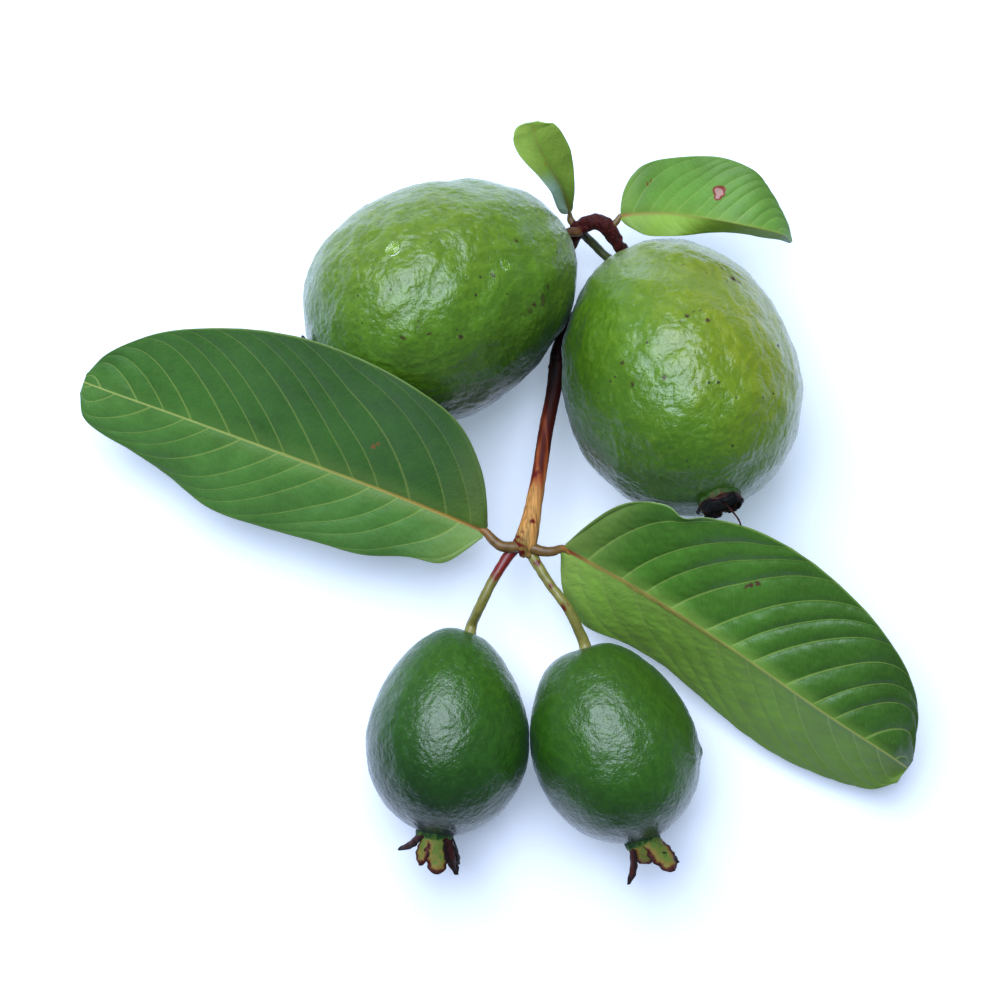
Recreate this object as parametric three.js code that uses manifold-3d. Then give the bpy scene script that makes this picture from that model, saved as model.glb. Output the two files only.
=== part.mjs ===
// A cut sprig of common guava, lying on a flat surface: a woody twig with two nodes, each with a pair
// of leaves and a pair of fruit. Two large fruit hang on short stalks at the older node and two small
// ones on long stalks at the young tip. Millimetres, +Z up. X and Y are in the plane of the surface,
// with the older node towards +Y. Each fruit stands on a small flat spot at Z = 0.
import * as THREE from "three";
import { mergeVertices } from "three/addons/utils/BufferGeometryUtils.js";
import Module from "manifold-3d";

const wasm = await Module();
wasm.setup();

// The driving dimensions. Places are measured from the point under the middle of the sprig.
const FRAME_MIDDLE = { x: -0.3, y: -2.4 };
const JOINT_GAP = 0.3;
const DEG = Math.PI / 180;

// A fruit: its middle, the way its stem end points (bearing in plan from +X, and how far that end dips),
// its half length and radius, how much narrower the stem end is, and how blunt the two ends are.
const LARGE_LEFT = {
  middle: [-16.2, 58.5, 32.7], bearing: 28.3, dip: 15, halfLength: 41.3, radius: 33.2,
  taper: -0.121, blunt: 0.068, socket: 1.4, socketTilt: 0, shoulder: 0, ribTurn: 20, rings: 17, sides: 28,
};
const LARGE_RIGHT = {
  middle: [51.7, 35.2, 34.7], bearing: 105.5, dip: 27, halfLength: 40.8, radius: 34.2,
  taper: -0.041, blunt: 0.028, socket: 1.4, socketTilt: 0, shoulder: 1.6, ribTurn: 75, rings: 17, sides: 28,
};
const SMALL_LEFT = {
  middle: [-15.0, -67.2, 23.1], bearing: 85.3, dip: 2, halfLength: 30.2, radius: 23.5,
  taper: -0.144, blunt: -0.038, socket: 0.8, socketTilt: -0.2, shoulder: 0, ribTurn: 10, rings: 14, sides: 22,
};
const SMALL_RIGHT = {
  middle: [32.9, -70.8, 23.52], bearing: 110.8, dip: 3, halfLength: 29.3, radius: 24.0,
  taper: -0.084, blunt: 0.027, socket: 0.8, socketTilt: -0.1, shoulder: 1.1, ribTurn: -14, rings: 14, sides: 22,
};
const SOCKET_ANGLE = 0.16;
const SHOULDER_ANGLE = 0.5;
const SHOULDER_SPREAD = 0.3;
const NECK_ANGLE = 0.24;
const NECK_HEIGHT = 0.8;
const RIB_DEPTH = 0.008;
const LUMP_DEPTH = 0.007;

// The twig from its young tip to its cut end: x, y, z and radius at each point. It passes under the
// large left fruit between the bud scar and the older node.
const TWIG_ROUTE = [
  [6.9, -15.4, 25.8, 2.1], [7.3, -12.6, 26.2, 3.4], [8.6, -7.6, 26.0, 3.0], [9.8, -1.5, 25.0, 2.5],
  [11.6, 8.7, 23.5, 2.2], [13.4, 20.4, 22.0, 2.15], [15.5, 30.7, 20.0, 2.2], [16.6, 37.4, 18.6, 2.5],
  [17.5, 42.5, 17.4, 2.8], [18.6, 47.8, 15.2, 2.3], [19.3, 52.8, 12.6, 2.1], [19.0, 56.6, 10.4, 2.0],
  [17.7, 62.2, 9.0, 1.9], [18.4, 69.4, 10.2, 1.9], [20.8, 75.4, 15.2, 2.0], [23.0, 79.2, 18.6, 2.3],
  [26.3, 81.1, 20.8, 2.3], [29.6, 80.9, 21.4, 2.45], [32.0, 78.9, 20.4, 2.25], [34.3, 75.7, 17.8, 1.95],
  [36.8, 72.7, 14.8, 1.85],
];
// Short growths on the twig, each from its root inside the wood to its end, with both radii.
const TWIG_GROWTHS = [
  { from: [7.2, -14.4, 25.9], to: [6.3, -16.6, 25.7], radii: [1.8, 0.9] },
  { from: [8.0, -14.2, 26.6], to: [8.2, -16.8, 27.6], radii: [1.6, 0.7] },
  { from: [6.4, -13.6, 26.2], to: [3.6, -12.4, 26.8], radii: [1.7, 1.1] },
  { from: [8.6, -13.8, 26.2], to: [11.0, -14.3, 26.4], radii: [1.7, 1.2] },
  { from: [16.9, 40.6, 18.0], to: [14.2, 38.6, 18.6], radii: [1.5, 0.6] },
  { from: [17.2, 41.8, 18.6], to: [16.6, 41.6, 21.0], radii: [1.6, 0.9] },
  { from: [23.6, 79.6, 18.8], to: [20.9, 80.9, 20.0], radii: [1.7, 1.2] },
  { from: [28.2, 81.2, 21.2], to: [27.9, 81.6, 24.0], radii: [1.7, 1.0] },
  { from: [31.2, 80.2, 20.8], to: [33.4, 80.4, 21.8], radii: [1.5, 0.9] },
];

// Fruit stalks: points from inside the twig to the last one before the fruit's stem pole, and radius.
const STALK_LARGE_LEFT = { route: [[23.2, 79.3, 18.7, 1.6], [22.6, 78.4, 20.6, 1.5]], atFruit: 1.6 };
const STALK_LARGE_RIGHT = {
  route: [
    [23.6, 79.2, 17.6, 1.5], [25.2, 77.6, 15.0, 1.35], [27.9, 75.2, 13.4, 1.3], [31.0, 72.2, 12.4, 1.3],
    [34.4, 69.8, 12.0, 1.35], [38.0, 69.4, 12.8, 1.4],
  ],
  atFruit: 1.6,
};
const STALK_SMALL_LEFT = {
  route: [[5.4, -12.8, 25.0, 1.8], [2.0, -16.8, 25.6, 1.65], [-2.2, -23.6, 26.4, 1.5], [-5.8, -31.0, 26.0, 1.5]],
  atFruit: 1.75,
};
const STALK_SMALL_RIGHT = {
  route: [[8.0, -13.0, 25.2, 1.8], [10.3, -17.8, 26.0, 1.6], [14.6, -24.6, 27.0, 1.45], [19.9, -31.8, 27.2, 1.5]],
  atFruit: 1.8,
};
const STALK_APPROACH = 3.0;

// Leaves. The midrib and both margins are given at stations that crowd towards base and tip. Sides are
// as seen from the base looking to the tip. Widths run level from the midrib, heights are of the margin.
const LEAF_THICKNESS = 0.8;
const LARGE_LEAF_LEFT = {
  petiole: [[7.0, -13.2, 26.8, 1.7], [1.4, -13.6, 27.6, 1.6], [-1.6, -12.0, 27.4, 1.5]],
  midrib: [[-4.3, -9.2, 27.0], [-12.0, -6.0, 27.5], [-33.0, 2.4, 29.5], [-61.8, 13.0, 31.5],
    [-90.9, 23.6, 31.0], [-112.7, 31.3, 28.0], [-120.9, 34.3, 25.0]],
  right: {
    width: [2.0, 8.0, 17.0, 25.6, 29.8, 32.2, 32.7, 30.6, 26.4, 21.2, 14.4, 8.4, 2.8],
    height: [27, 37, 48, 58, 62.5, 63, 62, 57.5, 48.5, 39, 32, 28, 25],
    bow: 1.12,
  },
  left: {
    width: [2.0, 6.6, 13.3, 15.4, 19.6, 20.9, 22.2, 22.4, 17.6, 14.2, 12.2, 9.4, 3.6],
    height: [27, 27, 26, 25, 25, 24, 23, 22, 22, 22, 23, 24, 25],
    bow: 1.2,
  },
  ribRadius: [1.5, 0.45], ribDrop: 0.5, wave: 0.7, waves: 5.5, steps: 24, across: 4,
};
const LARGE_LEAF_RIGHT = {
  petiole: [[7.6, -13.4, 26.8, 1.7], [12.6, -14.9, 27.6, 1.5], [15.6, -14.8, 27.4, 1.4]],
  midrib: [[18.4, -14.1, 27.0], [25.3, -17.8, 29.0], [43.9, -28.2, 34.0], [68.2, -43.9, 36.0],
    [92.6, -60.8, 33.0], [111.7, -73.2, 26.0], [119.4, -78.6, 18.0]],
  left: {
    width: [1.8, 9.4, 19.0, 24.2, 27.4, 31.8, 33.0, 31.8, 28.8, 24.2, 16.8, 7.8, 3.0],
    height: [27, 38, 47, 53, 55, 53, 48, 44, 40, 34, 27, 22, 18],
    bow: 1.1,
  },
  right: {
    width: [1.8, 6.4, 12.6, 17.2, 15.8, 15.2, 16.8, 18.3, 18.2, 16.2, 13.6, 10.6, 5.4],
    height: [27, 22, 17, 13, 12, 11, 10, 9, 9, 9, 10, 13, 18],
    bow: 0.95,
  },
  ribRadius: [1.4, 0.45], ribDrop: 0.5, wave: 0.5, waves: 6.5, steps: 24, across: 4,
};
const SMALL_LEAF_RIGHT = {
  petiole: [[32.0, 79.4, 20.6, 1.1], [33.9, 81.2, 21.4, 1.0]],
  midrib: [[35.2, 82.9, 22.0], [38.4, 82.9, 26.0], [47.1, 82.1, 36.0], [58.8, 79.8, 44.0],
    [70.8, 77.3, 46.0], [79.9, 75.6, 42.0], [83.4, 74.0, 36.0]],
  left: {
    width: [1.4, 7.0, 12.2, 14.5, 15.7, 16.8, 17.5, 16.9, 14.8, 10.4, 5.2, 1.8, 0.6],
    height: [22, 24, 28, 34, 40, 44, 46, 46, 45, 43, 40, 37, 36],
    bow: 1.0,
  },
  right: {
    width: [1.2, 2.6, 4.4, 6.6, 6.8, 5.8, 3.7, 2.1, 1.3, 1.3, 1.0, 0.8, 0.5],
    height: [22, 24, 29, 35, 38, 39, 39, 38, 37, 36, 36, 36, 36],
    bow: 1.0,
  },
  ribRadius: [0.9, 0.4], ribDrop: 0.35, wave: 0.3, waves: 5, steps: 14, across: 2,
};
const SMALL_LEAF_LEFT = {
  petiole: [[21.8, 80.4, 19.4, 1.1], [20.6, 82.2, 19.6, 1.0]],
  midrib: [[20.4, 83.9, 20.0], [19.7, 85.4, 24.0], [17.8, 89.3, 33.0], [14.2, 94.3, 43.0],
    [10.8, 99.5, 51.0], [9.6, 103.8, 56.0], [9.5, 105.3, 58.0]],
  right: {
    width: [1.0, 1.2, 1.7, 2.7, 4.0, 5.8, 7.0, 7.3, 7.1, 6.5, 5.4, 3.6, 1.4],
    height: [20, 22, 28, 34, 39, 44, 49, 53, 55, 57, 58, 58.5, 58],
    bow: 1.0,
  },
  left: {
    width: [1.2, 2.6, 3.4, 3.7, 3.8, 4.2, 4.8, 5.7, 6.4, 6.7, 6.2, 4.8, 2.2],
    height: [20, 25, 32, 38, 43, 47, 51, 54, 56, 57, 58, 58.5, 58],
    bow: 1.0,
  },
  ribRadius: [0.9, 0.4], ribDrop: 0.35, wave: 0.3, waves: 3, steps: 12, across: 2,
};

// Dried calyx crowns. Each lobe: its bearing round the fruit's axis (0 is level to the left seen from
// outside the fruit, 90 is up), length, half width, lean away from the axis at its root and bend along it.
const CROWN_SMALL_LEFT = {
  sideStep: -1.5, rimRadius: 5.2, rimHeight: 1.6, wall: 1.0,
  lobes: [
    { at: 32, length: 7.2, half: 2.7, lean: 12, bend: -4 },
    { at: 100, length: 9.8, half: 3.5, lean: 3, bend: 0 },
    { at: 158, length: 10.8, half: 2.4, lean: 24, bend: 8 },
    { at: 215, length: 8.6, half: 2.4, lean: 44, bend: -44 },
    { at: 330, length: 8.2, half: 2.6, lean: 44, bend: 36 },
  ],
};
const CROWN_SMALL_RIGHT = {
  sideStep: -2.0, rimRadius: 5.0, rimHeight: 1.6, wall: 1.0,
  lobes: [
    { at: 14, length: 9.8, half: 1.9, lean: 27, bend: 50 },
    { at: 66, length: 4.8, half: 2.6, lean: -2, bend: -60 },
    { at: 118, length: 9.4, half: 3.0, lean: 8, bend: 0 },
    { at: 172, length: 8.8, half: 2.6, lean: 4, bend: 4 },
    { at: 275, length: 4.8, half: 3.6, lean: 8, bend: 4 },
  ],
};
const CROWN_LARGE_RIGHT = {
  sideStep: 0, rimRadius: 5.7, rimHeight: 1.2, wall: 1.1,
  lobes: [
    { at: 18, length: 2.8, half: 2.6, lean: -16, bend: -10 },
    { at: 88, length: 2.6, half: 3.2, lean: -20, bend: -50 },
    { at: 160, length: 3.2, half: 2.8, lean: 20, bend: -70 },
    { at: 226, length: 2.2, half: 2.8, lean: 8, bend: 6 },
    { at: 300, length: 2.3, half: 3.0, lean: 2, bend: 6 },
  ],
};
const CROWN_LARGE_LEFT = {
  sideStep: 0, rimRadius: 5.6, rimHeight: 1.2, wall: 1.1,
  lobes: [
    { at: 14, length: 3.2, half: 2.6, lean: 50, bend: 40 },
    { at: 90, length: 2.8, half: 3.0, lean: 0, bend: -50 },
    { at: 160, length: 3.6, half: 2.6, lean: 20, bend: 10 },
    { at: 232, length: 3.8, half: 3.0, lean: 24, bend: 10 },
    { at: 304, length: 4.0, half: 2.6, lean: 30, bend: -30 },
  ],
};
const LOBE_THICKNESS = 0.8;
// The withered style left in the large right fruit's crown, in the crown's own frame.
const STYLE = { route: [[0.8, 0, 0.3], [2.0, -0.4, 2.4], [3.4, -1.4, 5.6], [3.8, -2.6, 7.4]], radius: 0.4 };

const surface = (colour, roughness) => new THREE.MeshStandardMaterial({ color: colour, roughness, metalness: 0 });
const LARGE_SKIN = surface("#6f9a3a", 0.42);
const SMALL_SKIN = surface("#3f7434", 0.4);
const LARGE_BLADE = surface("#4a7c3c", 0.5);
const SMALL_BLADE = surface("#7da045", 0.5);
const BARK = surface("#5a2a22", 0.7);
const GREEN_STALK = surface("#a39a4e", 0.55);
const DRY_CALYX = surface("#6b5a30", 0.8);

// A closed solid from rings of points, each ring closed on itself, with a middle point at either end.
function ringedSolid(rings, firstPole, lastPole) {
  const sides = rings[0].length;
  const points = [firstPole, ...rings.flat(), lastPole];
  const last = points.length - 1;
  const at = (ring, side) => 1 + ring * sides + (side % sides);
  const faces = [];
  for (let k = 0; k < sides; k++) {
    faces.push(0, at(0, k + 1), at(0, k));
    faces.push(last, at(rings.length - 1, k), at(rings.length - 1, k + 1));
  }
  for (let i = 0; i + 1 < rings.length; i++)
    for (let k = 0; k < sides; k++) {
      faces.push(at(i, k), at(i, k + 1), at(i + 1, k));
      faces.push(at(i + 1, k), at(i, k + 1), at(i + 1, k + 1));
    }
  return facesToSolid(points, faces);
}

// A closed slab between two grids of points of one size, split into triangles alike on both faces.
function slab(upper, lower) {
  const rows = upper.length;
  const columns = upper[0].length;
  const points = [...upper.flat(), ...lower.flat()];
  const top = (i, j) => i * columns + j;
  const under = (i, j) => rows * columns + top(i, j);
  const faces = [];
  for (let i = 0; i + 1 < rows; i++)
    for (let j = 0; j + 1 < columns; j++) {
      faces.push(top(i, j), top(i + 1, j), top(i, j + 1), top(i, j + 1), top(i + 1, j), top(i + 1, j + 1));
      faces.push(under(i, j), under(i, j + 1), under(i + 1, j));
      faces.push(under(i, j + 1), under(i + 1, j + 1), under(i + 1, j));
    }
  const wall = (a, b, c, d) => faces.push(a, b, c, b, d, c);
  for (let i = 0; i + 1 < rows; i++) {
    wall(top(i, 0), under(i, 0), top(i + 1, 0), under(i + 1, 0));
    wall(top(i + 1, columns - 1), under(i + 1, columns - 1), top(i, columns - 1), under(i, columns - 1));
  }
  for (let j = 0; j + 1 < columns; j++) {
    wall(top(0, j + 1), under(0, j + 1), top(0, j), under(0, j));
    wall(top(rows - 1, j), under(rows - 1, j), top(rows - 1, j + 1), under(rows - 1, j + 1));
  }
  return facesToSolid(points, faces);
}

function facesToSolid(points, faces) {
  const geometry = new THREE.BufferGeometry().setFromPoints(points);
  geometry.setIndex(faces);
  return geometryToSolid(geometry);
}

function geometryToSolid(geometry) {
  const bare = geometry.clone();
  bare.deleteAttribute("normal");
  bare.deleteAttribute("uv");
  const merged = mergeVertices(bare, 1e-4);
  const made = new wasm.Manifold(new wasm.Mesh({
    numProp: 3,
    vertProperties: new Float32Array(merged.attributes.position.array),
    triVerts: new Uint32Array(merged.index.array),
  }));
  if (made.volume() > 0) return made;
  const turned = new Uint32Array(merged.index.array);
  for (let i = 0; i < turned.length; i += 3) [turned[i + 1], turned[i + 2]] = [turned[i + 2], turned[i + 1]];
  return new wasm.Manifold(new wasm.Mesh({
    numProp: 3,
    vertProperties: new Float32Array(merged.attributes.position.array),
    triVerts: turned,
  }));
}

const biggestBody = (solid) => solid.decompose().sort((a, b) => b.volume() - a.volume())[0];

// A table of evenly spaced values read at share s, 0 to 1, along a smooth curve through all of them.
function tableAt(values, s) {
  const place = Math.min(Math.max(s, 0), 1) * (values.length - 1);
  const i = Math.min(Math.floor(place), values.length - 2);
  const f = place - i;
  const before = values[Math.max(i - 1, 0)];
  const here = values[i];
  const next = values[i + 1];
  const after = values[Math.min(i + 2, values.length - 1)];
  const slope = (next - before) / 2;
  const slopeNext = (after - here) / 2;
  const rise = next - here;
  return here + f * (slope + f * (3 * rise - 2 * slope - slopeNext + f * (slope + slopeNext - 2 * rise)));
}

// A round rod along smooth points, each with its own radius, closed by a flat end at either side.
function rod(route, sides, stepsEach, grow = 0) {
  const curve = new THREE.CatmullRomCurve3(route.map(([x, y, z]) => new THREE.Vector3(x, y, z)), false, "centripetal");
  const steps = stepsEach * (route.length - 1);
  const frames = curve.computeFrenetFrames(steps, false);
  const radii = route.map((point) => point[3]);
  const rings = [];
  const middles = [];
  for (let i = 0; i <= steps; i++) {
    const t = curve.getUtoTmapping(i / steps);
    const beyond = grow * (Number(i === steps) - Number(i === 0));
    const middle = curve.getPoint(t).addScaledVector(frames.tangents[i], beyond);
    const radius = tableAt(radii, t) + grow;
    middles.push(middle);
    rings.push(Array.from({ length: sides }, (_, k) => {
      const turn = (2 * Math.PI * k) / sides;
      return middle.clone()
        .addScaledVector(frames.normals[i], radius * Math.cos(turn))
        .addScaledVector(frames.binormals[i], radius * Math.sin(turn));
    }));
  }
  return ringedSolid(rings, middles[0], middles[steps]);
}

// A fruit in its own frame, stem end at +X. Its skin is a smooth egg with five faint ribs near the
// calyx, broad shallow lumps, a socket round the stalk and a low neck under the crown.
function fruitPoint(fruit, t, turn, grow) {
  const { halfLength, radius, taper, blunt, socket, socketTilt, shoulder } = fruit;
  const c = Math.cos(t);
  const ribs = RIB_DEPTH * Math.cos(5 * turn) * Math.exp(-(((Math.PI - t) / 1.1) ** 2)) * 2;
  const lumps = LUMP_DEPTH * (Math.sin(3 * turn + 2.2 * c) + Math.cos(2 * turn - 4 * c)) * Math.sin(t) ** 2;
  const round = radius * Math.sin(t) * (1 + taper * c + blunt * c * c) * (1 + ribs + lumps);
  const along = halfLength * c + shoulder * Math.exp(-(((t - SHOULDER_ANGLE) / SHOULDER_SPREAD) ** 2))
    - socket * Math.exp(-((t ** 2 + socketTilt ** 2 - 2 * t * socketTilt * Math.cos(turn)) / SOCKET_ANGLE ** 2))
    - NECK_HEIGHT * Math.exp(-(((Math.PI - t) / NECK_ANGLE) ** 2));
  const outward = round + grow * Math.sin(t);
  return new THREE.Vector3(along + grow * c, outward * Math.cos(turn), outward * Math.sin(turn));
}

function fruitMatrix({ middle, bearing, dip, ribTurn }) {
  return new THREE.Matrix4().makeTranslation(...middle)
    .multiply(new THREE.Matrix4().makeRotationZ(bearing * DEG))
    .multiply(new THREE.Matrix4().makeRotationY(dip * DEG))
    .multiply(new THREE.Matrix4().makeRotationX(ribTurn * DEG));
}

function fruitBody(fruit, grow = 0) {
  const place = fruitMatrix(fruit);
  const point = (t, turn) => fruitPoint(fruit, t, turn, grow).applyMatrix4(place);
  const rings = [];
  for (let i = 1; i < fruit.rings; i++) {
    const t = (Math.PI * i) / fruit.rings;
    rings.push(Array.from({ length: fruit.sides }, (_, k) => point(t, (2 * Math.PI * k) / fruit.sides)));
  }
  return ringedSolid(rings, point(0, 0), point(Math.PI, 0));
}

// The fruit with what lies below the surface it stands on cut off, which leaves its flat spot.
function standingFruit(fruit) {
  const floor = new THREE.BoxGeometry(400, 400, 20).translate(0, 0, -10);
  return fruitBody(fruit).subtract(geometryToSolid(floor));
}

function twigSolid(grow = 0) {
  const growths = TWIG_GROWTHS.map(({ from, to, radii }) => rod([[...from, radii[0]], [...to, radii[1]]], 7, 1, grow));
  return growths.reduce((wood, growth) => wood.add(growth), rod(TWIG_ROUTE, 9, 2, grow));
}

function stalkRod(stalk, fruit, grow = 0) {
  const place = fruitMatrix(fruit);
  const approach = fruitPoint(fruit, fruit.socketTilt, 0, STALK_APPROACH).applyMatrix4(place);
  const sunk = fruitPoint(fruit, fruit.socketTilt, 0, -1.0).applyMatrix4(place);
  return rod([...stalk.route, [...approach, stalk.atFruit - 0.1], [...sunk, stalk.atFruit + 0.2]], 8, 2, grow);
}

// A stalk runs from inside the twig into the fruit's stem pole, and both are cut out of it with a gap.
function stalkSolid(stalk, fruit) {
  return biggestBody(stalkRod(stalk, fruit).subtract(fruitBody(fruit, JOINT_GAP)).subtract(twigSolid(JOINT_GAP)));
}

function leafPoint(leaf, s, v, lift) {
  const along = (i) => tableAt(leaf.midrib.map((point) => point[i]), s);
  const tangent = (i) => tableAt(leaf.midrib.map((point) => point[i]), s + 0.004)
    - tableAt(leaf.midrib.map((point) => point[i]), s - 0.004);
  const [tx, ty] = [tangent(0), tangent(1)];
  const size = Math.hypot(tx, ty);
  const side = v > 0 ? leaf.left : leaf.right;
  const reach = Math.abs(v);
  const level = tableAt(side.width, s) * reach * Math.sign(v);
  const rise = (tableAt(side.height, s) - along(2)) * reach ** side.bow;
  const wave = leaf.wave * reach ** 3 * Math.sin(Math.PI * s) * Math.sin(2 * Math.PI * leaf.waves * s + (v > 0 ? 0 : 2));
  return new THREE.Vector3(
    along(0) - (level * ty) / size,
    along(1) + (level * tx) / size,
    along(2) + rise + wave + lift,
  );
}

// The blade as a thin slab: its two faces are the same net of points, moved apart along the normals.
function bladeSolid(leaf) {
  const shares = Array.from({ length: leaf.steps + 1 }, (_, i) => i / leaf.steps);
  const acrossShares = Array.from({ length: 2 * leaf.across + 1 }, (_, j) => j / leaf.across - 1);
  const net = shares.map((s) => acrossShares.map((v) => leafPoint(leaf, s, v, 0)));
  const clampTo = (i, n) => Math.min(Math.max(i, 0), n);
  const normals = net.map((row, i) => row.map((_, j) => {
    const down = net[clampTo(i - 1, leaf.steps)][j];
    const up = net[clampTo(i + 1, leaf.steps)][j];
    const right = net[i][clampTo(j - 1, 2 * leaf.across)];
    const left = net[i][clampTo(j + 1, 2 * leaf.across)];
    return up.clone().sub(down).cross(left.clone().sub(right)).normalize();
  }));
  const face = (half) => net.map((row, i) => row.map((p, j) => p.clone().addScaledVector(normals[i][j], half)));
  return slab(face(LEAF_THICKNESS / 2), face(-LEAF_THICKNESS / 2));
}

// Blade, midrib and petiole are one piece. The midrib stands proud of the blade's underside. What the
// leaf grows beside is cut out of it with a gap.
function leafSolid(leaf, beside) {
  const stations = [0.06, 0.2, 0.34, 0.5, 0.66, 0.8, 0.92];
  const rib = stations.map((s) => {
    const radius = THREE.MathUtils.lerp(leaf.ribRadius[0], leaf.ribRadius[1], (1 - Math.cos(Math.PI * s)) / 2);
    const point = leafPoint(leaf, s, 1e-6, 0);
    return [point.x, point.y, point.z - leaf.ribDrop, radius];
  });
  const base = leaf.midrib[0];
  const route = [...leaf.petiole, [base[0], base[1], base[2] - 0.2, leaf.ribRadius[0]], ...rib];
  const whole = bladeSolid(leaf).add(rod(route, 6, 2)).subtract(twigSolid(JOINT_GAP));
  return biggestBody(beside ? whole.subtract(beside) : whole);
}

// One calyx lobe: a thin cupped tongue that leans out from the rim and bends along its length.
function lobeSolid({ at, length, half, lean, bend }, rimRadius, rimHeight) {
  const steps = 4;
  const across = 2;
  const outward = new THREE.Vector3(-Math.cos(at * DEG), Math.sin(at * DEG), 0);
  const sideways = new THREE.Vector3(outward.y, -outward.x, 0);
  let [r, z] = [rimRadius - 0.3, rimHeight - 1.2];
  const faces = [[], []];
  for (let i = 0; i <= steps; i++) {
    const s = i / steps;
    const angle = (lean + bend * s) * DEG;
    const width = half * (0.8 + 0.75 * s) * Math.sqrt(Math.max(1.03 - s ** 2.6, 0.02));
    [1, -1].forEach((side, f) => {
      faces[f].push(Array.from({ length: across + 1 }, (_, j) => {
        const v = (2 * j) / across - 1;
        const cup = (0.28 * half * v * v) * (1 - 0.5 * s);
        const offset = (side * LOBE_THICKNESS) / 2;
        return new THREE.Vector3(0, 0, z - offset * Math.sin(angle))
          .addScaledVector(outward, r - cup + offset * Math.cos(angle))
          .addScaledVector(sideways, v * width);
      }));
    });
    r += (length / steps) * Math.sin(angle);
    z += (length / steps) * Math.cos(angle);
  }
  return slab(faces[0], faces[1]);
}

// The cup that the lobes grow from, open outwards, with its back sunk into the end of the fruit.
function crownSolid(crown, fruit, style) {
  const { rimRadius, rimHeight, wall } = crown;
  const cup = new THREE.LatheGeometry([
    [0, -1.5], [rimRadius + 0.4, -1.5], [rimRadius + 0.2, rimHeight], [rimRadius - wall, rimHeight],
    [rimRadius - wall - 0.6, 0.7], [0, 0.5],
  ].map(([r, h]) => new THREE.Vector2(r, h)), 12).rotateX(Math.PI / 2);
  const made = crown.lobes.reduce(
    (body, lobe) => body.add(lobeSolid(lobe, rimRadius, rimHeight)),
    geometryToSolid(cup),
  );
  const whole = style ? made.add(rod(style.route.map((p) => [...p, style.radius]), 6, 2)) : made;
  const pole = fruitPoint(fruit, Math.PI, 0, 0).x;
  const place = fruitMatrix({ ...fruit, ribTurn: 0 })
    .multiply(new THREE.Matrix4().makeBasis(
      new THREE.Vector3(0, -1, 0), new THREE.Vector3(0, 0, 1), new THREE.Vector3(-1, 0, 0),
    ).setPosition(pole, -crown.sideStep, 0));
  return biggestBody(whole.transform(place.elements).subtract(fruitBody(fruit, JOINT_GAP)));
}

const sprig = new THREE.Group();

function addPiece(name, solid, material) {
  const { vertProperties, triVerts, numProp } = solid.getMesh();
  const geometry = new THREE.BufferGeometry();
  const points = Array.from({ length: vertProperties.length / numProp }, (_, i) =>
    new THREE.Vector3().fromArray(vertProperties, i * numProp));
  geometry.setFromPoints(points).setIndex([...triVerts]);
  geometry.computeVertexNormals();
  const mesh = new THREE.Mesh(geometry, material);
  mesh.name = name;
  sprig.add(mesh);
}

addPiece("twig", twigSolid(), BARK);

addPiece("guava_large_left", standingFruit(LARGE_LEFT), LARGE_SKIN);
addPiece("guava_large_right", standingFruit(LARGE_RIGHT), LARGE_SKIN);
addPiece("guava_small_left", standingFruit(SMALL_LEFT), SMALL_SKIN);
addPiece("guava_small_right", standingFruit(SMALL_RIGHT), SMALL_SKIN);

addPiece("stalk_large_left", stalkSolid(STALK_LARGE_LEFT, LARGE_LEFT), GREEN_STALK);
addPiece("stalk_large_right", stalkSolid(STALK_LARGE_RIGHT, LARGE_RIGHT), GREEN_STALK);
addPiece("stalk_small_left", stalkSolid(STALK_SMALL_LEFT, SMALL_LEFT), GREEN_STALK);
addPiece("stalk_small_right", stalkSolid(STALK_SMALL_RIGHT, SMALL_RIGHT), GREEN_STALK);

addPiece("crown_large_left", crownSolid(CROWN_LARGE_LEFT, LARGE_LEFT), DRY_CALYX);
addPiece("crown_large_right", crownSolid(CROWN_LARGE_RIGHT, LARGE_RIGHT, STYLE), DRY_CALYX);
addPiece("crown_small_left", crownSolid(CROWN_SMALL_LEFT, SMALL_LEFT), DRY_CALYX);
addPiece("crown_small_right", crownSolid(CROWN_SMALL_RIGHT, SMALL_RIGHT), DRY_CALYX);

addPiece("leaf_large_left", leafSolid(LARGE_LEAF_LEFT, stalkRod(STALK_SMALL_LEFT, SMALL_LEFT, JOINT_GAP)), LARGE_BLADE);
addPiece("leaf_large_right", leafSolid(LARGE_LEAF_RIGHT, stalkRod(STALK_SMALL_RIGHT, SMALL_RIGHT, JOINT_GAP)), LARGE_BLADE);
addPiece("leaf_small_left", leafSolid(SMALL_LEAF_LEFT), SMALL_BLADE);
addPiece("leaf_small_right", leafSolid(SMALL_LEAF_RIGHT), SMALL_BLADE);

sprig.position.set(-FRAME_MIDDLE.x, -FRAME_MIDDLE.y, 0);

export default sprig;
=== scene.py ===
# A cut sprig of common guava lying on a pale surface, seen from straight above: green fruit of two
# ages, leathery leaves in pairs, and the twig they grow on. Sizes are in millimetres unless a line
# says otherwise, and meshes are made in metres.
import math

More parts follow.
